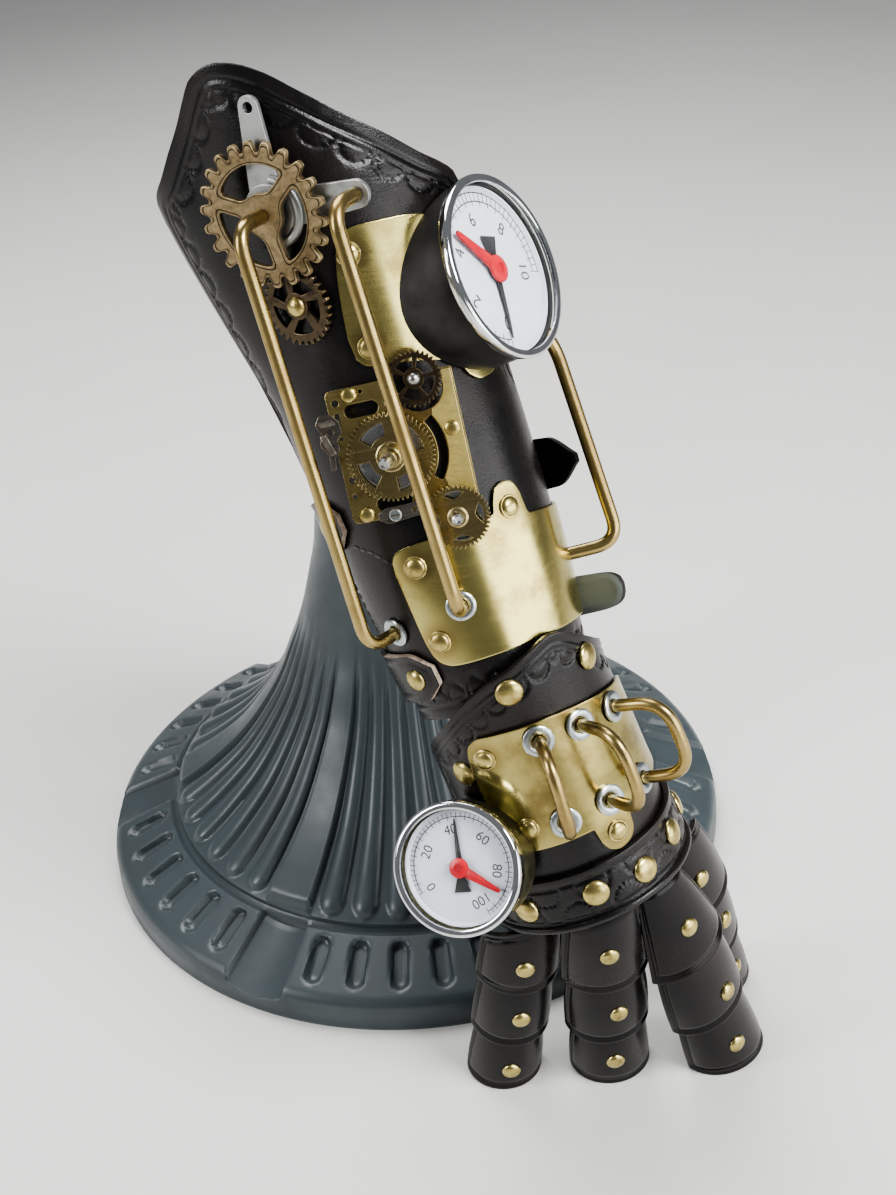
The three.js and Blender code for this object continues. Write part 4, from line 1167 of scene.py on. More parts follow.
@dataclass
class Stand(Assembly):
    """Moulded bell foot with flat and round ribs, a ring of dimples, and the post behind the forearm."""

    profile: Spots = (
        (149, 0), (148.7, 8), (147.6, 12), (145.4, 14.3), (119, 26), (114, 30), (97, 41), (80, 55), (65, 74),
        (54, 93), (45.5, 117), (38, 143), (34, 160), (30, 200),
    )
    steps: int = 720
    rows: Spots = ((70.0, 1.25), (260.0, 3.0))
    crisp_points: int = 5
    first_rib: float = -29.8
    sector_angle: float = 60.0
    flat_half: float = 5.4
    rib_first: float = 10.1
    rib_pitch: float = 7.96
    rib_count: int = 6
    rib_height: float = 3.0
    rib_share: float = 0.36
    rib_end: float = 108.0
    flat_end: float = 115.0
    flat_slant: float = 4.0
    flat_height: float = 3.6
    rib_head: float = 110.0
    rib_fade: float = 4.0
    dimple_radius: float = 131.5
    dimple_half: Spot = (10.2, 4.4)
    dimple_depth: float = 3.2
    gap_half: float = 5.6
    gap_depth: float = 5.6
    gap_from: float = 117.6
    slope_from: int = 4
    groove: Point = (117.4, 1.7, 2.2)
    post_radius: float = 8.0
    post_knee: float = 232.0
    bar_along: float = 84.0
    bar_radius: float = 6.0
    bar_length: float = 70.0

    def build(self) -> None:
        """Builds the foot, the post and the cross bar."""
        self._foot()
        self._post()

    def _foot(self) -> None:
        """Turns the bell, then raises its ribs and presses its dimples."""
        radii, heights = np.array(self.profile).T
        run = np.concatenate(([0], np.cumsum(np.hypot(np.diff(radii), np.diff(heights)))))
        stations, start = [], 0.0
        for end, row in self.rows:
            stations += list(np.arange(start, min(end, run[-1]), row))
            start = end
        stations = np.array([*stations, run[-1]])
        crisp = stations < run[self.crisp_points]
        sides = list(zip(*(np.where(crisp, np.interp(stations, run, values), fair(run, values, stations))
                           for values in (radii, heights))))
        blank = Blank().turn([(0, 0), *sides, (0, heights[-1])], self.steps)
        places = coordinates(blank.bm)
        radius, height = np.hypot(places[:, 0], places[:, 1]), places[:, 2]
        turn = np.degrees(np.arctan2(places[:, 0], -places[:, 1]))
        lift = self._relief(radius, height, turn)
        lift[(radius < 1e-3) | (height < 1e-3)] = 0
        slope = np.interp(height, heights, np.gradient(radii, heights + np.arange(len(heights)) * 1e-6))
        lean = np.clip(np.arctan(-slope), 0, math.pi / 2)
        out = lift * np.cos(lean) / np.maximum(radius, 1)
        moved = places + np.stack([places[:, 0] * out, places[:, 1] * out, lift * np.sin(lean)], 1)
        moved[:, 2] = np.minimum(moved[:, 2], self._trough(radius, turn))
        set_coordinates(blank.bm, moved)
        self.keep(blank, "stand_bell", SLATE, replaces=["stand_foot"], sharp=42)

    def _relief(self, radius: Array, height: Array, turn: Array) -> Array:
        """Works out the ribs, dimples and groove.

        Args:
            radius: Each point's distance from the axis.
            height: Its height.
            turn: Degrees round the bell.

        Returns:
            Lift of each point.
        """
        inside = self._inside(turn)
        rib_turn = self.rib_first + self.rib_pitch * np.arange(self.rib_count)
        rib_turn = np.concatenate([rib_turn, rib_turn - self.sector_angle])
        away = np.abs(inside[:, None] - rib_turn[None]).min(axis=1) * np.radians(1) * radius
        neck = 1 / (1 + np.exp((height - self.rib_head) / self.rib_fade))
        half = self.rib_share * self.rib_pitch * np.radians(1) * radius
        beyond = np.maximum(radius - self.rib_end, 0)
        swell = np.sqrt(np.clip(1 - (away**2 + beyond**2) / half**2, 0, 1))
        flat = np.clip((self.flat_half + 0.25 - np.abs(inside)) / 0.5, 0, 1)
        foot = np.clip((self.flat_end - radius) / self.flat_slant, 0, 1)
        scale = np.clip(radius / 85, 0.5, 1.0)
        ribs = neck * scale * np.maximum(self.rib_height * swell * (1 - flat), self.flat_height * flat * foot)
        along = np.maximum(np.abs(radius - self.dimple_radius) - self.dimple_half[0] + self.dimple_half[1], 0)
        oval = np.clip(1 - (away**2 + along**2) / self.dimple_half[1] ** 2, 0, 1)
        ring = (height < 26.5) & (height > 9)
        bowl = np.clip(oval / 0.7, 0, 1)
        dimples = np.where(ring, self.dimple_depth * bowl * bowl * (3 - 2 * bowl), 0)
        middle, wide, deep = self.groove
        groove = deep * np.clip((wide - np.abs(radius - middle)) / 0.8, 0, 1)
        return ribs - dimples - groove

    def _inside(self, turn: Array) -> Array:
        """Degrees from the middle of the nearest flat rib."""
        return (turn - self.first_rib + self.sector_angle / 2) % self.sector_angle - self.sector_angle / 2

    def _trough(self, radius: Array, turn: Array) -> Array:
        """Works out the troughs between the groups of dimples.

        Args:
            radius: Each point's distance from the axis.
            turn: Degrees round the bell.

        Returns:
            Height that they leave free at each point.
        """
        away = np.abs(self._inside(turn))
        hollow = np.cos(np.clip(away / self.gap_half, 0, 1) * 0.9)
        gap = np.clip((self.gap_half + 0.25 - away) / 0.5, 0, 1)
        gap *= np.clip((radius - self.gap_from) / 0.8, 0, 1)
        (out_low, low), (out_high, high) = self.profile[self.slope_from - 1], self.profile[self.slope_from]
        slope = high + (radius - out_high) * (high - low) / (out_high - out_low)
        return np.where(gap > 0, slope - self.gap_depth * gap * hollow, np.inf)

    def _post(self) -> None:
        """Draws the post and the cross bar that the forearm leans on."""
        top = self.profile[-1][1] + 0.3
        back = FOREARM.point(124.0, self.bar_along).y + self.bar_radius + 0.6
        rest = FOREARM.frame() @ Vector((0, back, self.bar_along))
        corners = [Vector((0, 0, top)), Vector((0, 0, self.post_knee)), rest]
        blank = Blank().rod(bent(corners, 20.0), self.post_radius, 32)
        half = self.bar_length / 2
        ends = [(0, -half), (4.4, -half), (6, -half + 1.6), (6, half - 1.6), (4.4, half), (0, half)]
        lay = Matrix.Translation((0, back, self.bar_along)) @ turned(90, "Y")
        blank.turn(ends, 32, FOREARM.frame() @ lay)
        collar = [(0, 0), (13, 0), (13, 3.2), (11.8, 4.4), (8.6, 4.8), (0, 4.8)]
        blank.turn(collar, 40, raised(top))
        self.keep(blank, "stand_support", SLATE, replaces=["stand_post"])


# Leather

@dataclass
class LeatherShell(Assembly):
    """Forearm leather with its pointed elbow wing, the hand guard and the knuckle band."""

    thickness: float = 2.2
    edge: float = 0.55
    wing: Spots = (
        (-124, 93), (-112, 97.5), (-101, 102.5), (-92, 108), (-84, 116), (-79, 128), (-77, 150), (-75.5, 172),
        (-73, 187), (-69, 194.4), (-57, 199.6), (-46.5, 205.6), (-36.5, 211.2), (-27.5, 216.6), (-20, 220.6),
        (-13, 221.6), (-5, 219), (3, 213.5), (13, 203.5), (23, 194), (36, 184), (48, 175.7), (57, 171.5),
        (64, 168), (68, 162), (72, 147), (76, 130), (82, 117), (92, 107), (102, 101.5), (113, 97), (124, 93),
    )
    wing_foot: float = -6.0
    guard: Spots = (
        (-80, 64), (-76, 73), (-60, 81), (-40, 89), (-22, 96.5), (-6, 101.5), (10, 104.5), (26, 107.4),
        (38, 109), (46, 107.5), (62, 100.5), (80, 93), (96, 88), (112, 80), (118, 72),
    )
    guard_foot: float = 10.0
    band: Point = (-100, 3, 24)
    band_end: float = 125.0
    guard_rivets: Spots = ((6.9, 96.9), (60.6, 92.4), (-40, 69.6))
    band_rivets: Spots = ((-32, 13), (8, 14.4), (37, 12.8), (66, 15), (98, 14), (-72, 13))
    bead: float = 1.5
    rivet: Spot = (5.0, 1.9)

    def build(self) -> None:
        """Builds the three leathers and their rivets."""
        arm = Pattern(tuple((angle, self.wing_foot, high) for angle, high in self.wing), 0.838)
        self._sheet("forearm_leather", "forearm_shell", arm, FOREARM, Tooling(reach=13.8), 2.4)
        hand = Pattern(tuple((angle, self.guard_foot, high) for angle, high in self.guard), 0.646)
        border = Tooling(lines=(3.0, 5.2), line_depth=0.45, shell_at=6.6, shell_pitch=10.0, shell_radius=4.2)
        self._sheet("hand_leather", "hand_guard", hand, HAND, border, 1.9)
        start, low, high = self.band
        angles = np.linspace(start, self.band_end, 9)
        knuckles = Pattern(tuple((float(angle), low, high) for angle in angles), 0.709)
        arches = Tooling(lines=(3.2,), shell_at=4.2, shell_pitch=19.5, shell_radius=6.4, flutes=18.0,
                         flute_depth=0.4)
        self._sheet("knuckle_leather", "knuckle_band", knuckles, BAND, arches, 1.8)
        self._rivets("hand_leather_rivets", HAND, self.guard_rivets)
        turns = np.linspace(start + 1, self.band_end - 1, 70)
        edge = [Vector(spot) for spot in BAND.skin(turns, np.full(70, low + 1.0), -0.3)]
        self.keep(Blank().rod(edge, self.bead, 14), "knuckle_bead", BLACK_LEATHER, BAND.frame())
        self._rivets("knuckle_rivets", BAND, self.band_rivets)

    def _sheet(self, name: str, node: str, pattern: Pattern, limb: Limb, tooling: Tooling,
               cell: float) -> None:
        """Cuts, tools and wraps one leather.

        Args:
            name: The piece's name.
            node: The CAD node that it stands for.
            pattern: Its cutting pattern.
            limb: What it goes round.
            tooling: Its border.
            cell: Size of a cell of its grid.
        """
        bm = pattern.grid(cell, tooling.reach, 2)
        lift = self.tool(bm, pattern, tooling)
        piece = self.keep(self.wrap(bm, pattern, limb, lift), name, BLACK_LEATHER,
                          limb.frame(), [node], sharp=SOFT)
        self.thicken(piece, self.thickness, Side.INWARD, self.edge)

    def _rivets(self, name: str, limb: Limb, places: Sequence[Spot]) -> None:
        """Sets dome rivets on a leather."""
        self.studs(name, [limb.seat(*spot, 0.1) for spot in places], self.rivet, limb.frame())


@dataclass
class Finger(Assembly):
    """One finger of three overlapping lames with a dome rivet on each."""

    number: int
    root: Point
    foot: Point
    facing: float
    root_wrap: float
    rivets: Spots
    widen: float = 1.0
    root_radius: float = 14.8
    lames: tuple[tuple[float, float, float, float], ...] = (
        (0.6, 1.0, 17.2, 0.0), (0.29, 0.66, 16.0, 14.0), (-0.08, 0.35, 15.2, 13.0),
    )
    foot_wrap: float = 96.0
    thickness: float = 2.2
    band_low: float = 2.4
    rivet: Spot = (3.8, 2.0)
    tooling: Tooling = Tooling(lines=(1.9, 3.7), line_width=0.5, line_depth=0.6, shell_depth=0.0)

    def frame(self) -> Matrix:
        """Stands axes on the finger's foot.

        Returns:
            Axes in millimetres, with the finger's front at -y.
        """
        base, turn = Vector(self.foot), math.radians(self.facing)
        up = (Vector(self.root) - base).normalized()
        side = Vector((-math.sin(turn), math.cos(turn), 0)).cross(up).normalized()
        return Matrix.Translation(base) @ axes_of(side, up.cross(side), up)

    @property
    def length(self) -> float:
        """Length of the finger."""
        return (Vector(self.root) - Vector(self.foot)).length

    def build(self) -> None:
        """Builds the lames and their rivets."""
        length, seats = self.length, []
        for index, ((low, high, low_radius, high_radius), (angle, share)) in enumerate(
                zip(self.lames, self.rivets), 1):
            rows = ((low * length, low_radius, 0), (high * length, high_radius or self.root_radius, 0))
            limb = Limb((0, 0, 0), 0, 0, rows)
            self._lame(index, limb)
            seats.append(limb.seat(angle, share * length, 0.8))
            seats[-1].translation.x *= self.widen
        self.studs(f"finger_{self.number}_rivets", seats, self.rivet, self.frame())

    def _lame(self, index: int, limb: Limb) -> None:
        """Cuts one lame so that it ends at the knuckle band and at the floor, and bends it.

        Args:
            index: The lame's number from the root.
            limb: Its cone.
        """
        pattern = self._pattern(limb)
        bm = pattern.grid(0.95)
        lift = self.tool(bm, pattern, self.tooling)
        flat = coordinates(bm)
        low, high = limb.rows[0][0], limb.rows[1][0]
        swell = 0.9 * np.sin(math.pi * np.clip((flat[:, 1] - low) / (high - low), 0, 1))
        angle = flat[:, 0] / pattern.per_degree * self._spread(flat[:, 1] / self.length)
        bent_sheet = limb.skin(angle, flat[:, 1], lift + swell)
        bent_sheet[:, 0] *= self.widen
        set_coordinates(bm, bent_sheet)
        name = f"finger_{self.number}_lame_{index}"
        piece = self.keep(Blank(bm), f"{name}_leather", FINGER_LEATHER, self.frame(), [name], sharp=SOFT)
        self.thicken(piece, self.thickness, Side.INWARD, 0.5)

    def _spread(self, share: Array | float) -> Array | float:
        """How far a lame reaches round the finger at a share of its length, with 1 at the foot."""
        return 1 + (self.root_wrap / self.foot_wrap - 1) * share

    def _pattern(self, limb: Limb) -> Pattern:
        """Cuts the flat pattern of a lame between the knuckle band and the floor.

        Args:
            limb: The lame's cone.

        Returns:
            The pattern.
        """
        low, high = limb.rows[0][0], limb.rows[1][0]
        back = self.frame().inverted()
        knuckles = back @ HAND.frame()
        floor = (back @ Vector((0, 0, 0.4)), back.to_3x3() @ Vector((0, 0, 1)))
        band = (knuckles @ Vector((0, 0, self.band_low)), knuckles.to_3x3() @ Vector((0, 0, 1)))
        columns = []
        for angle in np.linspace(-self.foot_wrap, self.foot_wrap, 33):
            start = max(low, self._meet(limb, angle, floor, low))
            end = min(high, self._meet(limb, angle, band, high))
            columns.append((float(angle), start, max(end, start + 2)))
        return Pattern(tuple(columns), 0.279)

    def _meet(self, limb: Limb, angle: float, plane: tuple[Vector, Vector], along: float) -> float:
        """Finds where a line along a lame meets a plane.

        Args:
            limb: The lame's cone.
            angle: Degrees round it at the finger's foot.
            plane: A point of the plane and its normal.
            along: Where to start.

        Returns:
            The place along the finger.
        """
        point, way = plane
        for _ in range(6):
            spot = limb.point(angle * self._spread(along / self.length), along)
            spot.x *= self.widen
            along -= way.dot(spot - point) / way.z
        return along


@dataclass
class Strap(Assembly):
    """A leather strap round the open back, riveted at its left tab and held by a brass keeper loop."""

    name: str
    along: float
    tail_along: float
    start: float
    tail: float
    tip: Spots
    # Strength of the painted sky reflection on the tail.
    painted_sky_reflection: float = 0.0
    half: float = 9.0
    thickness: float = 2.0
    point_half: float = 3.5
    point_length: float = 9.0
    sky_reflection_fade: float = 8.0
    keeper_angle: float = -205.0
    rivet: Spot = (4.2, 2.0)
    path: StrapPath = StrapPath()

    def build(self) -> None:
        """Builds the strap, its rivet and its keeper."""
        place, radii, _ = zip(*FOREARM.rows)
        per_degree = math.radians(1) * float(fair(place, radii, np.array([self.along]))[0])
        end = self.path.leave - self.tail / per_degree
        halves = (
            *((end + far / per_degree, half) for far, half in self.tip),
            (self.start - self.point_length / per_degree, self.half), (self.start, self.point_half),
        )
        columns = tuple((angle, self._middle(angle, end) - half, self._middle(angle, end) + half)
                        for angle, half in halves)
        pattern = Pattern(columns, per_degree)
        bm = pattern.grid(1.15)
        lift = self.tool(bm, pattern, Tooling(lines=(2.0,), line_depth=0.45, shell_depth=0.0))
        fresh, painted_sky_reflection = (bm.verts.layers.float.new(name) for name in ("fresh_cut", "painted_sky_reflection"))
        for vert in bm.verts:
            vert[fresh] = float(vert.co.x / per_degree > self.start - 40)
            # The painted sky reflection fades in past where the strap leaves the arm.
            past = self.path.leave * per_degree - vert.co.x
            vert[painted_sky_reflection] = self.painted_sky_reflection * min(1.0, max(0.0, past / self.sky_reflection_fade))
        blank = self.wrap(bm, pattern, self.path, lift + self.thickness)
        piece = self.keep(blank, f"{self.name}_strap_leather", BLACK_LEATHER, FOREARM.frame(),
                          [f"{self.name}_strap"], sharp=SOFT)
        self.thicken(piece, self.thickness, Side.INWARD, 0.3, RAW_EDGE)
        rivet_angle = self.start - self.point_length / per_degree
        seat = FOREARM.seat(rivet_angle, self._middle(rivet_angle, end), self.path.lift + self.thickness)
        self.studs(f"{self.name}_strap_rivet", [seat], self.rivet, FOREARM.frame())
        self._keeper(end)

    def _middle(self, angle: float, end: float) -> float:
        """The strap's middle line at an angle, which slants from its tab to its tail."""
        return self.tail_along + (self.along - self.tail_along) * (angle - end) / (self.start - end)

    def _keeper(self, end: float) -> None:
        """Stamps the keeper loop out of brass and slides it on the strap.

        Args:
            end: Angle at which the strap's tail ends.
        """
        middle = self._middle(self.keeper_angle, end)
        angles = np.array([self.keeper_angle, self.keeper_angle + 0.5])
        places = [Vector(spot) for spot in self.path.skin(angles, np.full(2, middle), self.thickness / 2)]
        side = (places[1] - places[0]).normalized()
        up = Vector((0, 0, 1))
        axes = axes_of(side, up, side.cross(up))
        lay = Matrix.Translation(places[0]) @ axes @ turned(90, "Y")
        loops = [rounded(0, 0, 6.2, 22.2, 1.4), rounded(0, 0, 3.0, 19.0, 0.4)]
        blank = Blank().stamp(loops, 7.0, 0.35, lay @ raised(-3.5))
        self.keep(blank, f"{self.name}_keeper_loop", TUBE_BRASS, FOREARM.frame(),
                  [f"{self.name}_keeper"])


@dataclass
class Stitching(Assembly):
    """Rows of waxed thread sewn into the forearm leather."""

    rows: tuple[Spots, ...] = (
        ((-50.0, 63.0), (-36.0, 58.4), (-20.0, 49.5)),
        ((-61.0, 100.0), (-60.0, 82.0), (-66.0, 66.0), (-72.0, 50.0), (-72.0, 30.0), (-67.0, 15.0)),
    )
    pitch: float = 3.4
    stitch: Point = (2.4, 0.8, 0.7)

    def build(self) -> None:
        """Sews each row."""
        blank = Blank()
        for row in self.rows:
            self._sew(blank, row)
        self.keep(blank, "forearm_stitches", THREAD, FOREARM.frame())

    def _sew(self, blank: Blank, row: Sequence[Spot]) -> None:
        """Lays stitches at even steps along a row.

        Args:
            blank: The blank that they go on.
            row: Angles round the forearm and places along it.
        """
        angles, alongs = np.array(row).T
        shares = np.linspace(0, len(row) - 1, 200)
        turn, along = (np.interp(shares, np.arange(len(row)), values) for values in (angles, alongs))
        path = FOREARM.skin(turn, along, 0.1)
        run = np.concatenate(([0], np.cumsum(np.linalg.norm(np.diff(path, axis=0), axis=1))))
        for place in np.arange(self.pitch, run[-1], self.pitch):
            i = int(np.searchsorted(run, place))
            out = FOREARM.seat(turn[i], along[i]).to_3x3().col[2]
            way = Vector(path[i] - path[i - 1]).normalized()
            blank.bar(self.stitch, 0.3, Matrix.Translation(path[i]) @ axes_of(way, out.cross(way), out))


# Brass plates and tubes

@dataclass
class BrassPlate(Assembly):
    """Sheet of brass bent round a limb and held by rivets."""

    name: str
    node: str
    limb: Limb
    columns: tuple[Point, ...]
    rivets: Spots
    per_degree: float
    lift: float = 0.7
    finish: Finish = PLATE_BRASS
    thickness: float = 0.9
    halo: float = 3.6
    halo_depth: float = 0.8

    def build(self) -> None:
        """Builds the plate and its rivets."""
        pattern = Pattern(self.columns, self.per_degree)
        bm = pattern.grid(0.75)
        flat = coordinates(bm)[:, :2]
        near = np.min([np.hypot(flat[:, 0] - angle * self.per_degree, flat[:, 1] - along)
                       for angle, along in self.rivets], axis=0)
        stain = bm.verts.layers.float.new("stain")
        for vert, away in zip(bm.verts, near):
            vert[stain] = self.halo_depth * math.exp(-((max(away - self.halo, 0) / self.halo) ** 2))
        blank = self.wrap(bm, pattern, self.limb, self.lift)
        piece = self.keep(blank, self.name, self.finish, self.limb.frame(), [self.node], sharp=SOFT)
        self.thicken(piece, self.thickness, Side.OUTWARD, 0.28)
        heads = Blank()
        for angle, along in self.rivets:
            seat = self.limb.seat(angle, along, self.lift + self.thickness)
            heads.turn([(0, -0.4), (4.1, -0.4), (4.1, 0.35), (3.8, 0.6), (0, 0.6)], 28, seat)
            heads.dome(seat @ raised(0.6), 3.5, 1.5)
        self.keep(heads, f"{self.name}_rivets", RIVET_BRASS, self.limb.frame())


@dataclass
class Tubing(Assembly):
    """Bent brass tubes on the forearm and arched ones on the hand, with zinc washers where they go in."""

    radius: float = 2.4
    bend: float = 9.0
    arch_radius: float = 2.3
    arch_bend: float = 12.0
    on_plate: float = 1.9
    on_leather: float = 0.3
    left_washer: Spot = (-43.5, 29.0)
    middle_washer: Spot = (1.5, 32.3)
    left_rise: Spot = (15.0, 14.0)
    middle_rise: Spot = (15.0, 14.0)
    gear: Spot = (-11.0, 174.0)
    gear_top: float = 7.1
    crank_top: float = 2.9
    crank_eye: Spot = (33.3, -8.2)
    right: Point = (94.0, 31.0, 105.0)
    right_lift: Spot = (20.0, 17.0)
    right_foot: float = 1.1
    gauge: Point = (62.0, 132.6, 30.5)
    arches: tuple[tuple[Spot, Spot, float], ...] = (
        ((11.2, 76.8), (7.8, 44.0), 19.5), ((35.4, 74.6), (34.6, 43.5), 23.5),
        ((62.0, 71.0), (62.0, 40.6), 23.0),
    )
    washer_radius: float = 5.2
    hand_washer_radius: float = 5.7

    def build(self) -> None:
        """Builds the tubes and their washers."""
        seat = FOREARM.seat(*self.gear, 0.0)
        left = [
            seat @ Vector((0, 0, self.gear_top)), seat @ Vector((0, 0, self.gear_top + self.left_rise[0])),
            FOREARM.point(*self.left_washer, self.left_rise[1]), FOREARM.point(*self.left_washer, 0.3),
        ]
        self._tube("left_tube", left)
        self._washer("left_washer", FOREARM, self.left_washer, self.on_leather)
        eye = Vector((*polar(*self.crank_eye), self.crank_top))
        middle = [
            seat @ eye, seat @ (eye + Vector((0, 0, self.middle_rise[0]))),
            FOREARM.point(*self.middle_washer, self.middle_rise[1]),
            FOREARM.point(*self.middle_washer, self.on_plate),
        ]
        self._tube("middle_tube", middle)
        self._washer("middle_washer", FOREARM, self.middle_washer, self.on_plate)
        self._right()
        for number, (top, foot, height) in enumerate(self.arches, 1):
            corners = [HAND.point(*spot, lift) for spot, lift in
                       ((top, self.on_plate), (top, height), (foot, height), (foot, self.on_plate))]
            blank = Blank().rod(bent(corners, self.arch_bend), self.arch_radius, 28)
            self.keep(blank, f"hand_arch_{number}", TUBE_BRASS, HAND.frame(), [f"hand_tube_{number}"])
            self._washer(f"hand_washer_{number}_top", HAND, top, self.on_plate)
            self._washer(f"hand_washer_{number}_foot", HAND, foot, self.on_plate)

    def _right(self) -> None:
        """Draws the tube from the wrist plate into the side of the upper gauge."""
        angle, low, high = self.right
        gauge_angle, gauge_along, gauge_radius = self.gauge
        normal = Vector((*polar(1.0, gauge_angle - 90), 0))
        knee = FOREARM.point(angle, high, self.right_lift[1])
        middle = normal * knee.dot(normal) + Vector((0, 0, gauge_along))
        share = 1 - gauge_radius / (knee - middle).length
        corners = [FOREARM.point(angle, low, self.right_foot), FOREARM.point(angle, low, self.right_lift[0]),
                   knee, knee.lerp(middle, share)]
        self._tube("right_tube", corners)

    def _tube(self, node: str, corners: Sequence[Vector]) -> None:
        """Draws one forearm tube."""
        blank = Blank().rod(bent(corners, self.bend), self.radius, 32)
        self.keep(blank, f"{node}_brass", TUBE_BRASS, FOREARM.frame(), [node])

    def _washer(self, node: str, limb: Limb, spot: Spot, lift: float) -> None:
        """Turns one washer and lays it on its seat.

        Args:
            node: The CAD node that it stands for.
            limb: The limb that it lies on.
            spot: Its angle round the limb and its place along it.
            lift: How far off the skin.
        """
        bore, rim = self.radius + 0.25, self.hand_washer_radius if limb is HAND else self.washer_radius
        profile = [(bore, 0), (rim, 0), (rim, 0.8), (rim - 0.4, 1.2), (rim - 1.6, 1.35), (bore + 0.4, 1.2),
                   (bore, 0.9), (bore, 0)]
        blank = Blank().turn(profile, 40, limb.seat(*spot, lift))
        self.keep(blank, f"{node}_zinc", ZINC, limb.frame(), [node])


# Works

@dataclass
class ElbowWorks(Assembly):
    """Bronze elbow gear on a steel crank, and the small dark gear below it."""

    gear: Spot = (-11.0, 174.0)
    gear_lift: float = 4.4
    gear_thickness: float = 2.4
    teeth: int = 22
    root: float = 20.0
    tip: float = 23.4
    rim: float = 16.4
    hub: float = 7.3
    windows: int = 3
    arm: float = 5.4
    corner: float = 2.5
    turn: float = 27.0
    crank_lift: float = 0.6
    crank_thickness: float = 2.0
    crank_boss: float = 9.0
    crank_arms: tuple[Point, ...] = ((32.7, 74.5, 3.7), (33.3, -8.2, 4.5))
    small: Spot = (-17.2, 143.9)
    small_lift: float = 0.8
    small_teeth: Point = (30, 11.6, 13.2)
    small_spokes: int = 5

    def build(self) -> None:
        """Builds the gear with its engraved lines, the crank and the small gear."""
        seat = FOREARM.seat(*self.gear, 0.0)
        openings = [self._window(index) for index in range(self.windows)]
        gear = seat @ raised(self.gear_lift)
        outline = toothed(self.teeth, self.root, self.tip, Tooth.BLOCK)
        blank = Blank().stamp([outline, *openings], self.gear_thickness, 0.3, gear)
        self.keep(blank, "elbow_gear_bronze", BRONZE, FOREARM.frame(), ["elbow_gear"], sharp=STAMPED)
        lines = [grown(loop, share) for loop in openings for share in (1.09, 1.14)]
        lines += [toothed(self.teeth, self.root - inset, self.tip - inset, Tooth.BLOCK)
                  for inset in (1.0, 1.45)]
        inlay = gear @ raised(self.gear_thickness - 0.04)
        self.keep(Blank().stamp(lines, 0.1, 0.0, inlay), "elbow_gear_lines", ENGRAVING,
                  FOREARM.frame())
        self._crank(seat)
        self._small_gear()

    def _window(self, index: int) -> Loop:
        """Draws one opening of the gear between two arms of even width, with soft corners.

        Args:
            index: The opening's number.

        Returns:
            Its outline.
        """
        centre = self.turn + (index + 0.5) * 360 / self.windows
        outer, inner = (180 / self.windows - math.degrees(math.asin(self.arm / 2 / radius))
                        for radius in (self.rim, self.hub))
        rim = arc(0, 0, self.rim, centre - outer, centre + outer, 24)
        return softened(rim + arc(0, 0, self.hub, centre + inner, centre - inner, 16), self.corner)

    def _crank(self, seat: Matrix) -> None:
        """Stamps the crank's two arms on a boss, with a post up to the gear and a hook beside it.

        Args:
            seat: Axes of the gear's place on the forearm.
        """
        flat = seat @ raised(self.crank_lift)
        blank = Blank().stamp([disc(0, 0, self.crank_boss, 40)], self.crank_thickness, 0.25, flat)
        for reach, turn, eye in self.crank_arms:
            end = polar(reach, turn)
            loops = [link((0, 0), 6.4, end, eye), disc(*end, 1.7, 20)]
            blank.stamp(loops, self.crank_thickness - 0.1, 0.25, flat)
        blank.turn([(0, 0.2), (4, 0.2), (4, 3.5), (0, 3.5)], 28, flat)
        blank.rod([seat @ Vector((*spot, 2.9)) for spot in arc(1.0, 0, 10.6, -95, 62, 19)], 1.5)
        self.keep(blank, "crank_steel", CRANK_STEEL, FOREARM.frame(), ["crank_arm"], sharp=STAMPED)

    def _small_gear(self) -> None:
        """Stamps the small gear, with curved spokes and a brass rivet in its middle."""
        seat = FOREARM.seat(*self.small, self.small_lift)
        loops = [toothed(*self.small_teeth, Tooth.FINE)]
        for spoke in range(self.small_spokes):
            start = 18 + spoke * 360 / self.small_spokes
            loops.append(arc(0, 0, 9.4, start, start + 52, 10) + arc(0, 0, 4.6, start + 58, start + 18, 6))
        blank = Blank().stamp(loops, 1.8, 0.2, seat)
        self.keep(blank, "small_gear_bronze", DARK_BRONZE, FOREARM.frame(), ["small_gear"],
                  sharp=STAMPED)
        self.studs("small_gear_rivet", [seat @ raised(1.7)], (3.5, 2.2), FOREARM.frame())


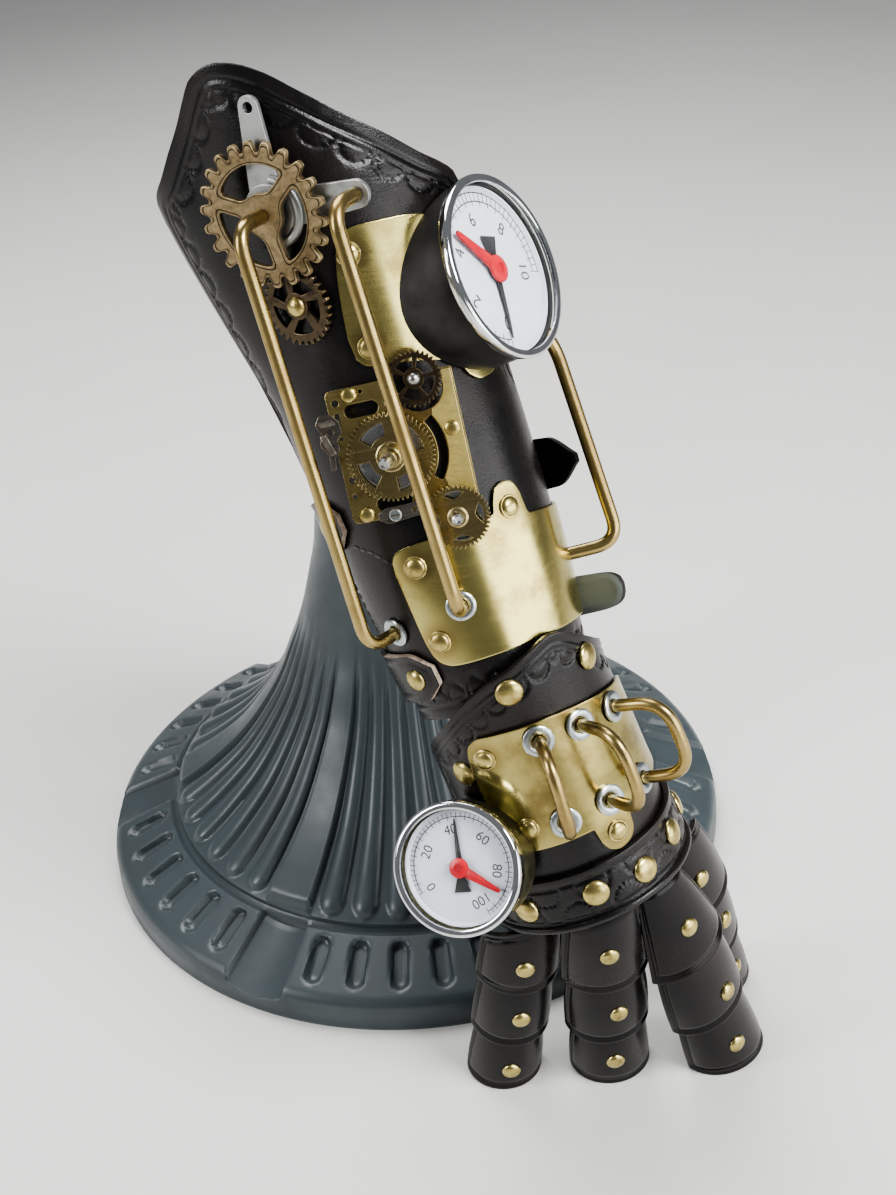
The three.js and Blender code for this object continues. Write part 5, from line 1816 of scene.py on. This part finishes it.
@dataclass
class ClockMovement(Assembly):
    """Pierced clock plate on the front of the forearm, with three wheels and steel fittings."""

    along: float = 89.4
    shift: float = 1.8
    lift: float = 0.8
    turn: float = -8.0
    width: float = 43.0
    height: float = 45.0
    thickness: float = 1.3
    big: Spot = (-3.9, -2.3)
    small: Spot = (13.4, -26.3)
    spoked: Spot = (9.0, 20.9)
    big_teeth: Point = (56, 13.5, 14.9)
    small_teeth: Point = (42, 9.7, 10.9)
    spoked_teeth: Point = (34, 8.3, 9.4)
    wheel: float = 1.4
    recess: Point = (0.4, -3.2, 7.9)
    rivets: Spots = ((-13.5, 20.0), (17.6, 2.5), (-16.5, -20.0))
    rivet: Spot = (2.7, 1.2)
    holes: tuple[Point, ...] = (
        (-18.6, 18.2, 1.2), (-1.6, 14.8, 0.9), (-9.6, 20.4, 0.7), (-18.6, -7.6, 1.3), (-19.2, -13.2, 0.8),
        (4.0, -19.6, 1.1), (-19.3, 6.4, 0.7),
    )
    bracket: Spots = (
        (-12.8, -22.6), (-9.6, -24.4), (-2.5, -23.6), (3.4, -23.2), (3.9, -20.2), (1.6, -18.6), (-3.0, -18.9),
        (-9.8, -18.9), (-12.6, -20.2),
    )
    click: Spots = (
        (-26.6, 12.6), (-24.8, 15.4), (-20.8, 15.2), (-18.4, 12.2), (-18.2, 8.8), (-20.4, 6.4), (-20.0, 3.2),
        (-22.0, 1.4), (-22.8, -3.2), (-24.6, -3.4), (-24.2, 2.0), (-26.4, 5.6), (-25.2, 9.2),
    )
    soft: float = 0.7

    def build(self) -> None:
        """Builds the plate, the wheels and the fittings."""
        turn = Matrix.Translation((self.shift, 0, 0)) @ turned(self.turn)
        self.place = FOREARM.frame() @ FOREARM.seat(0, self.along, self.lift) @ turn
        self._plate()
        self._big_wheel()
        self._small_wheel()
        self._spoked_wheel()
        self._fittings()

    def _plate(self) -> None:
        """Stamps the plate with its slots, holes, crescent and recess, and sets its rivets."""
        right, top = self.width / 2, self.height / 2
        middle, low, wide = self.spoked[0] + self.recess[0], self.spoked[1] + self.recess[1], self.recess[2]
        outline = [*arc(-right + 2, -top + 2, 2, 180, 270, 5), (right - 1, -top), (right, -top + 1),
                   (right, top - 0.5), (right - 0.5, top), (middle + wide, top),
                   *arc(middle, low, wide, 0, -180, 26), (middle - wide, top),
                   *arc(-right + 2, top - 2, 2, 90, 180, 5)]
        crescent = arc(*self.big, 18.6, -38, 34, 16) + arc(*self.big, 15.4, 34, -38, 16)
        loops = [outline, crescent, rounded(-10.5, 14.6, 11.5, 4.6, 2.2), rounded(-6.5, -17.6, 12, 4.6, 2.2),
                 rounded(-19.0, 12.6, 1.5, 4.6, 0.6)]
        loops += [disc(*hole, 16) for hole in self.holes]
        blank = Blank().stamp(loops, self.thickness, 0.16)
        self.keep(blank, "clock_plate_brass", CLOCK_BRASS, self.place, ["clock_plate"], sharp=STAMPED)
        edge = right - 0.5
        strip = [(13.4, -20.6), (edge, -20.6), (edge, top - 0.7), (middle + wide + 0.4, top - 0.7),
                 *arc(middle, low, wide + 0.4, 0, -68, 10), *arc(*self.big, 19.0, 33, -34, 14)]
        # The strip takes the lighter brass: painted highlight.
        blank = Blank().stamp([strip], 0.5, 0.12, raised(self.thickness - 0.1))
        self.keep(blank, "clock_strip_brass", STRIP_BRASS_LIT, self.place, sharp=STAMPED)
        seats = [Matrix.Translation((*spot, self.thickness + 0.2)) for spot in self.rivets]
        self.studs("clock_rivets", seats, self.rivet, self.place)

    def _big_wheel(self) -> None:
        """The great wheel: fine teeth, four sector windows and a collared steel arbor that leans."""
        lift = Matrix.Translation((*self.big, 3.4))
        windows = [sector(7.2, 11.6, start, start + 50, 12) for start in (2, 92, 182, 272)]
        dots = [disc(*spot, 0.28, 6) for spot in arc(0, 0, 12.8, 160, 241, 9)]
        loops = [toothed(*self.big_teeth, Tooth.FINE), *windows, *dots]
        blank = Blank().stamp(loops, self.wheel, 0.16, lift)
        blank.turn([(0, 1.2), (5.0, 1.2), (5.0, 1.7), (4.5, 2.0), (0, 2.0)], 36, lift)
        lean = lift @ Matrix.Translation((1.2, 0.8, 0)) @ leaning(20, 215)
        collar = [(0, 0.6), (4.0, 0.6), (4.0, 4.2), (3.6, 4.6), (3.2, 4.7), (3.2, 6.0), (2.9, 6.3), (0, 6.3)]
        blank.turn(collar, 36, lean)
        blank.turn([(0, -1.8), (3, -1.8), (3, 0.2), (0, 0.2)], 24, lift)
        self.keep(blank, "big_wheel_brass", WHEEL_BRASS, self.place, ["big_wheel"], sharp=STAMPED)
        self._arbor("big_wheel_arbor", lean, 2.1, 10.6)
        self._drum("big_wheel_drum", self.big, 11.4)

    def _small_wheel(self) -> None:
        """The small wheel: four lens windows and a steel arbor."""
        lift = Matrix.Translation((*self.small, 3.6))
        windows = []
        for turn in (0, 90, 180, 270):
            inner = [polar(6.0 + 2.5 * share**2, turn + 24 * share) for share in np.linspace(1, -1, 13)[1:-1]]
            windows.append(arc(0, 0, 8.6, turn - 24, turn + 24, 12) + inner)
        blank = Blank().stamp([toothed(*self.small_teeth, Tooth.FINE), *windows], self.wheel, 0.14, lift)
        blank.turn([(0, -2.0), (3.2, -2.0), (3.2, 0.2), (0, 0.2)], 24, lift)
        blank.turn([(0, 1.2), (3.5, 1.2), (3.5, 1.8), (2.8, 2.1), (0, 2.1)], 28, lift)
        self.keep(blank, "small_wheel_brass", WHEEL_BRASS, self.place, ["small_wheel"], sharp=STAMPED)
        lean = lift @ Matrix.Translation((-0.8, 1.0, 0)) @ leaning(18, 305)
        self._arbor("small_wheel_arbor", lean, 2.0, 6.2)
        self._drum("small_wheel_drum", self.small, 8.5)

    def _spoked_wheel(self) -> None:
        """The dark wheel: thin spokes and a round steel hub."""
        lift = Matrix.Translation((*self.spoked, 2.4))
        windows = [sector(3.4, 6.9, start, start + 58, 10) for start in (10, 82, 154, 226, 298)]
        blank = Blank().stamp([toothed(*self.spoked_teeth, Tooth.FINE), *windows], self.wheel, 0.14, lift)
        blank.turn([(0, -0.8), (2.6, -0.8), (2.6, 0.2), (0, 0.2)], 20, lift)
        self.keep(blank, "spoked_wheel_bronze", DARK_BRONZE, self.place, ["spoked_wheel"],
                  sharp=STAMPED)
        hub = Blank().dome(lift @ raised(self.wheel), 2.3, 2.3, 24)
        self.keep(hub, "spoked_wheel_hub", STEEL, self.place)

    def _arbor(self, name: str, lift: Matrix, radius: float, top: float) -> None:
        """Turns a steel arbor with a chamfered tip and a centre mark."""
        tip = [(radius, top - 0.7), (radius * 0.72, top), (0.5, top), (0, top - 0.35)]
        self.keep(Blank().turn([(0, 0), (radius, 0), *tip], 24, lift), name, STEEL, self.place)

    def _drum(self, name: str, middle: Spot, radius: float) -> None:
        """Turns the shallow steel drum that shows through a wheel's windows.

        Args:
            name: The piece's name.
            middle: Its place on the plate.
            radius: Its radius.
        """
        lift = Matrix.Translation((*middle, self.thickness + 0.1))
        drum = [(0, 0), (radius, 0), (radius, 1.5), (radius - 0.7, 1.5), (radius - 0.9, 0.6), (0, 0.6)]
        self.keep(Blank().turn(drum, 48, lift), name, STEEL, self.place)

    def _fittings(self) -> None:
        """The steel bracket with its screw, and the click at the left edge."""
        foot = self.thickness + 0.3
        loops = [softened(self.bracket, self.soft), disc(-0.4, -21.0, 0.9, 14)]
        blank = Blank().stamp(loops, 1.2, 0.18, raised(foot))
        self.keep(blank, "steel_bracket_plate", OLD_STEEL, self.place, ["steel_bracket"], sharp=STAMPED)
        screw = Matrix.Translation((-7.0, -21.7, foot + 1.2))
        head = Blank().turn([(0, -0.3), (2.1, -0.3), (2.1, 0.6), (1.7, 1.0), (0, 1.1)], 24, screw)
        self.keep(head, "clock_screw", ZINC, self.place)
        # A dark bar over the screw head stands for the shade in its slot, which is not cut: painted shade.
        slit_shade = Blank().bar((3.2, 0.45, 0.3), 0.08, screw @ raised(1.0))
        self.keep(slit_shade, "clock_screw_slit_shade", DARK_BRONZE, self.place)
        loops = [softened(self.click, self.soft), disc(-22.0, 9.6, 1.2, 14)]
        blank = Blank().stamp(loops, 1.4, 0.16, raised(foot - 0.2))
        fold = [(-25.6, 13.4), (-21.0, 14.2), (-19.4, 11.8), (-24.6, 11.4)]
        tilt = Matrix.Translation((-22.6, 12.8, foot + 1.0)) @ Matrix.Rotation(0.35, 4, "X")
        blank.stamp([softened(fold, self.soft)], 1.0, 0.16, tilt @ Matrix.Translation((22.6, -12.8, 0)))
        swung = Matrix.Translation((-23.6, 5.4, foot + 1.4)) @ Matrix.Rotation(0.3, 4, "Z")
        blank.bar((2.2, 7.4, 1.0), 0.3, swung)
        self.keep(blank, "steel_click_bar", OLD_STEEL, self.place, ["steel_click"], sharp=STAMPED)


# Gauges

@dataclass
class Gauge(Assembly):
    """A dial gauge: case, bezel, lens, printed dial, and two pointers on their own bodies."""

    name: str
    limb: Limb
    front: Point
    normal: Point
    radius: float
    case_radius: float
    depth: float
    bezel_depth: float
    well: float
    black: float
    red: float
    case_finish: Finish
    scale_start: float
    numbers: tuple[str, ...]
    margin: float = 1.7
    stem: Spot = (0.0, 0.0)
    scale_sweep: float = 270.0
    steps: int = 96

    def build(self) -> None:
        """Builds the gauge from the back to the front."""
        self.place = self.limb.frame() @ self.axes()
        self._case()
        self._bezel()
        self._dial()
        self._pointers()

    def axes(self) -> Matrix:
        """Stands axes on the gauge.

        Returns:
            Axes in its limb's frame, with the front of the bezel at z = 0.
        """
        out = Vector(self.normal).normalized()
        side = Vector((0, 0, 1)).cross(out).normalized()
        return Matrix.Translation(self.front) @ axes_of(side, out.cross(side), out)

    def _case(self) -> None:
        """Turns the case and fits its foot to the limb."""
        wall, lip = self.case_radius - 1.6, -self.bezel_depth - 0.3
        rings = [(self.case_radius * share, -self.depth) for share in (0, 0.35, 0.7, 0.9, 1.0)]
        sides = [(self.case_radius, lip - 1.2), (self.case_radius - 0.3, lip), (wall, lip),
                 (wall, -self.well), (0, -self.well)]
        blank = Blank().turn([*rings, *sides], self.steps)
        places = coordinates(blank.bm)
        foot = places[:, 2] < -self.depth + 0.01
        places[foot, 2] = self._foot(places[foot])
        set_coordinates(blank.bm, places)
        if self.stem[1]:
            radius, length = self.stem
            low = -self.depth - length
            blank.turn([(0, low), (radius, low), (radius, -self.depth + 2), (0, -self.depth + 2)], 32)
        self.keep(blank, f"{self.name}_gauge_case", self.case_finish, self.place,
                  [f"{self.name}_case"], sharp=50)

    def _foot(self, places: Array) -> Array:
        """Finds where lines through the case's foot meet the limb.

        Args:
            places: Points of the foot, one in each row.

        Returns:
            Depth of each meeting, or the case's own depth.
        """
        axes = np.array(self.axes())
        heights = np.arange(-self.well - 2, -self.depth, -0.2)
        spots = np.repeat(places[:, None, :], len(heights), axis=1)
        spots[:, :, 2] = heights
        local = spots @ axes[:3, :3].T + axes[:3, 3]
        out = np.hypot(local[..., 0], local[..., 1])
        turn = np.degrees(np.arctan2(local[..., 0], -local[..., 1]))
        inside = out < self.limb.radius(turn, local[..., 2]) + self.margin
        first = np.where(inside.any(axis=1), inside.argmax(axis=1), len(heights) - 1)
        return heights[first]

    def _bezel(self) -> None:
        """Turns the bezel ring and the lens."""
        rim, bore, deep = self.radius, self.radius - 1.2, -self.bezel_depth
        ring = [(bore, deep), (rim - 0.25, deep), (rim, deep + 0.5), (rim, -1.0), (rim - 0.3, -0.35),
                (rim - 0.9, 0), (bore - 1.0, 0), (bore - 1.5, -0.25), (bore - 1.6, -0.9), (bore, -0.9),
                (bore, deep)]
        self.keep(Blank().turn(ring, self.steps), f"{self.name}_gauge_bezel", CHROME, self.place,
                  [f"{self.name}_bezel"], sharp=50)
        low, high, reach = -2.2, -1.2, bore - 0.3
        glass = [(0, low), (reach, low), (reach, high), (reach * 0.95, high + 0.15),
                 (reach * 0.6, high + 0.32), (0, high + 0.4)]
        self.keep(Blank().turn(glass, self.steps), f"{self.name}_gauge_lens", CLEAR_LENS, self.place,
                  [f"{self.name}_lens"])

    def _dial(self) -> None:
        """Turns the dial and prints its scale and numbers."""
        low, face, reach = -self.well + 0.3, -self.well + 1.1, self.case_radius - 1.9
        plate = [(0, low), (reach, low), (reach, face + 1.2), (reach - 0.6, face + 1.2), (reach - 1.4, face),
                 (0, face)]
        # The dial's colour holds painted shade from the deep bezel.
        self.keep(Blank().turn(plate, self.steps), f"{self.name}_gauge_dial", DIAL_WHITE_SHADED, self.place,
                  [f"{self.name}_dial"])
        scale = self.radius / 31.5
        flat, ink = raised(face), 0.06
        end = self.scale_start - self.scale_sweep
        outer, inner = self.radius * 0.84, self.radius * 0.745
        line = 0.2 * scale
        arcs = [sector(radius - line, radius + line, end, self.scale_start, 90) for radius in (outer, inner)]
        blank = Blank().stamp(arcs, ink, 0.0, flat)
        marks = ((50, inner + line, outer - line, 0.15), (10, outer + line, outer + 1.9 * scale, 0.32),
                 (25, inner - 1.6 * scale, inner - line, 0.15))
        for count, low_end, high_end, half in marks:
            blank.stamp(self._ticks(count, low_end, high_end, half * scale), ink, 0.0, flat)
        for index, text in enumerate(self.numbers):
            turn = self.scale_start - self.scale_sweep * index / (len(self.numbers) - 1)
            stand = turned(turn) @ Matrix.Translation((self.radius * 0.56, 0, 0)) @ turned(-90)
            blank.numeral(text, 6.6 * scale, ink, flat @ stand)
        self.keep(blank, f"{self.name}_gauge_print", DIAL_INK, self.place)

    def _ticks(self, count: int, low: float, high: float, half: float) -> list[Loop]:
        """Draws evenly spread scale marks.

        Args:
            count: Number of spaces between them.
            low: Radius of their inner ends.
            high: Radius of their outer ends.
            half: Half of their width.

        Returns:
            Their outlines.
        """
        marks = []
        for index in range(count + 1):
            x, y = polar(1.0, self.scale_start - self.scale_sweep * index / count)
            corners = ((low, -half), (high, -half), (high, half), (low, half))
            marks.append([(out * x - side * y, out * y + side * x) for out, side in corners])
        return marks

    def _pointers(self) -> None:
        """Stamps the two pointers, turned to where they rest."""
        face, size = -self.well + 1.1, self.radius
        half, hub = 0.045 * size, 0.11 * size
        reach = 0.74 * size
        edge = math.degrees(math.asin(half / hub))
        blade = [*arc(0, 0, hub, 180 - 26, edge, 10), (reach * 0.9, half * 0.35), (reach, 0.0),
                 (reach * 0.9, -half * 0.35), *arc(0, 0, hub, -edge, -180 + 26, 10)]
        fan = [(-0.36 * size, -0.13 * size), (-0.36 * size, 0.13 * size)]
        blank = Blank().stamp([blade + fan], 0.6, 0.1, turned(self.black) @ raised(face + 0.4))
        self._pointer(blank, "black", POINTER_BLACK)
        spin = turned(self.red) @ raised(face + 1.3)
        red_hub, tip = 0.15 * size, 0.7 * size
        start = math.degrees(math.asin(1.7 * half / red_hub))
        bar = [*arc(0, 0, red_hub, start, 360 - start, 30), (tip - half, -half * 0.75), (tip, -half * 0.5),
               (tip, half * 0.5), (tip - half, half * 0.75)]
        blank = Blank().stamp([bar], 0.9, 0.15, spin)
        cap = ((0, 0.7), (0.95, 0.7), (0.9, 1.2), (0.66, 1.55), (0.4, 1.55), (0.34, 1.05), (0, 1.05))
        blank.turn([(red_hub * share, height) for share, height in cap], 36, spin)
        self._pointer(blank, "red", POINTER_RED)

    def _pointer(self, blank: Blank, colour: str, finish: Finish) -> None:
        """Keeps one pointer on its own body."""
        node = f"{self.name}_{colour}_pointer"
        self.keep(blank, f"{self.name}_gauge_{colour}", finish, self.place, [node], Body(node))


# Stage

@dataclass
class Studio:
    """Pale floor, soft lights and the camera at the photograph's angle."""

    camera_at: Point = (0.02410, -0.62841, 0.51424)
    right: Point = (0.997, -0.0413, -0.0661)
    up: Point = (0.0777, 0.5287, 0.8452)
    ahead: Point = (0.0, 0.8478, -0.5303)
    focal_px: float = 1600.0
    tall_px: float = 1195.0
    sensor: float = 36.0
    lights: tuple[tuple[str, Point, Spot, float], ...] = (
        ("key", (0.8, -0.75, 1.2), (0.55, 0.55), 24.0),
        ("window", (0.98, -0.72, 0.36), (1.3, 0.5), 10.0),
        ("fill", (-1.15, -0.55, 0.75), (0.35, 0.8), 10.0),
        ("top", (-0.25, 0.5, 1.4), (0.9, 0.9), 22.0),
    )
    target: Point = (0.03, -0.1, 0.2)
    sky: Colour = (0.8, 0.82, 0.85)
    sky_strength: float = 0.24

    def build(self) -> None:
        """Builds the floor, the lights, the sky and the camera."""
        self._floor()
        for name, at, size, power in self.lights:
            self._light(name, Vector(at), size, power)
        world = bpy.data.worlds.new("studio")
        world.use_nodes = True
        sky = world.node_tree.nodes["Background"]
        sky.inputs["Color"].default_value = (*self.sky, 1)
        sky.inputs["Strength"].default_value = self.sky_strength
        bpy.context.scene.world = world
        bpy.context.scene.view_settings.look = "AgX - Medium High Contrast"
        self._camera()

    def _floor(self) -> None:
        """Lays the floor as stage."""
        bm = bmesh.new()
        bmesh.ops.create_grid(bm, x_segments=8, y_segments=8, size=6.0)
        mesh = bpy.data.meshes.new("floor")
        bm.to_mesh(mesh)
        bm.free()
        mesh.materials.append(GROUND.material())
        floor = bpy.data.objects.new("floor", mesh)
        bpy.context.scene.collection.objects.link(floor)

    def _light(self, name: str, at: Vector, size: Spot, power: float) -> None:
        """Hangs one soft light that faces the object.

        Args:
            name: The light's name.
            at: Where it hangs.
            size: Its width and height.
            power: Its power in watts.
        """
        lamp = bpy.data.lights.new(name, "AREA")
        lamp.energy, lamp.shape = power, "RECTANGLE"
        lamp.size, lamp.size_y = size
        light = bpy.data.objects.new(name, lamp)
        light.location = at
        light.rotation_euler = (Vector(self.target) - at).to_track_quat("-Z", "Y").to_euler()
        bpy.context.scene.collection.objects.link(light)

    def _camera(self) -> None:
        """Sets the camera."""
        lens = bpy.data.cameras.new("camera")
        lens.sensor_width = self.sensor
        lens.lens = self.sensor * self.focal_px / self.tall_px
        lens.clip_start = 0.01
        camera = bpy.data.objects.new("camera", lens)
        axes = axes_of(Vector(self.right), Vector(self.up), -Vector(self.ahead))
        camera.matrix_world = Matrix.Translation(self.camera_at) @ axes
        bpy.context.scene.collection.objects.link(camera)
        bpy.context.scene.camera = camera


FINGERS = (
    Finger(1, (43.5, -182.5, 108), (32.3, -169.5, 0), 6, 62, ((0.0, 0.737), (3.5, 0.444), (-2.0, 0.13))),
    Finger(2, (69, -190.7, 114), (75.8, -170.5, 0), 8, 52, ((0.0, 0.793), (7.0, 0.452), (-2.5, 0.158)), 1.08),
    Finger(3, (87, -186, 116), (122.5, -169.5, 0), 40, 60, ((-1.6, 0.769), (8.4, 0.398), (-6.5, 0.134)),
           1.18, 8.5),
    Finger(4, (97.6, -163.3, 116), (125, -130.5, 0), 46, 54, ((-7.6, 0.783), (9.0, 0.467), (4.0, 0.15)),
           1.18, 10.0),
)
STRAPS = (
    Strap("upper", 71, 62, -45.8, 33, ((0, 1.5), (12, 9.0))),
    # The lower strap's tail gets the painted sky reflection.
    Strap("lower", 11, 13, -26.8, 36.6,
          ((0, 1.6), (0.9, 3.6), (2.6, 5.0), (6, 6.2), (11, 6.7), (24, 7.2), (41, 9.0)), 1.0),
)
PLATES = (
    BrassPlate("wrist_brass", "wrist_plate", FOREARM, (
        (-25, 23, 49), (-24, 18.5, 53), (-20.5, 14.8, 56), (-14, 12.8, 57), (-3, 12.2, 57), (9, 12, 57),
        (21, 11.8, 57), (32, 11.6, 57), (34, 11.5, 61), (37.5, 11.4, 65), (43, 11.3, 66.3), (48, 11.2, 65.2),
        (51, 11.1, 61), (52.5, 11, 53), (64, 10.8, 51.8), (76, 10.5, 51), (88, 10.3, 50.4), (100, 10.2, 50),
        (112, 10.2, 50),
    ), ((42, 57.5), (-13, 49.6), (-16.5, 22.4)), 0.65),
    # The hand plate takes the darker brass: painted shade.
    BrassPlate("hand_brass", "hand_plate", HAND, (
        (-31, 45, 71), (-29.5, 40.5, 77.5), (-26, 37.5, 81.8), (-19, 36.5, 84), (-6, 36.5, 84),
        (7, 36.5, 83.6), (20, 36.5, 83), (21.5, 30, 82.9), (25, 26.4, 82.5), (31, 24.9, 82), (37, 25.8, 81.3),
        (42, 29, 80.7), (44, 36.5, 80.4), (57, 36.6, 78.6), (70, 36.7, 76.6), (83, 36.8, 74.4), (97, 37, 72),
    ), ((-20, 75.6), (32, 31.5), (-12.4, 45.9)), 0.64, finish=HAND_BRASS_SHADED),
    BrassPlate("gauge_brass", "gauge_plate", FOREARM, (
        (-2.5, 121, 128), (0, 118.4, 138), (3, 117.3, 148), (6, 116.6, 155.5), (9.5, 116, 159.4),
        (14, 115.4, 160.4), (24, 113.4, 159.6), (34, 111, 158.6), (42, 107, 157), (45, 103.4, 156),
        (51, 101, 154), (58, 101.4, 152), (64, 104.5, 150), (66, 108, 148),
    ), ((9.6, 153), (4.8, 123.3)), 0.8),
)
UPPER_FACING = 62.0 - 90.0
GAUGES = (
    Gauge("upper", FOREARM, (*polar(60.6, UPPER_FACING), 132.6), (*polar(1.0, UPPER_FACING), 0.0), 31.5, 30.2,
          31, 3.4, 7, -100, 138, CASE_PAINT, -100, ("0", "2", "4", "6", "8", "10")),
    Gauge("lower", HAND, (-35.2, -49.9, 46.5), (-0.206, -0.884, 0.42), 23.9, 22.6, 20, 5, 6.6, 83, -39.4,
          GAUGE_BRASS, 200, ("0", "20", "40", "60", "80", "100"),
          stem=(6.0, 14.0)),
)


def main() -> None:
    """Builds the assemblies in order, from the stand to the gauges, and the studio round them."""
    logging.basicConfig(level=logging.INFO, format="%(name)s %(message)s")
    Studio().build()
    works = (ClockMovement(), ElbowWorks(), Tubing())
    for assembly in (Stand(), LeatherShell(), Stitching(), *FINGERS, *STRAPS, *PLATES, *works, *GAUGES):
        assembly.build()


if __name__ == "__main__":
    main()
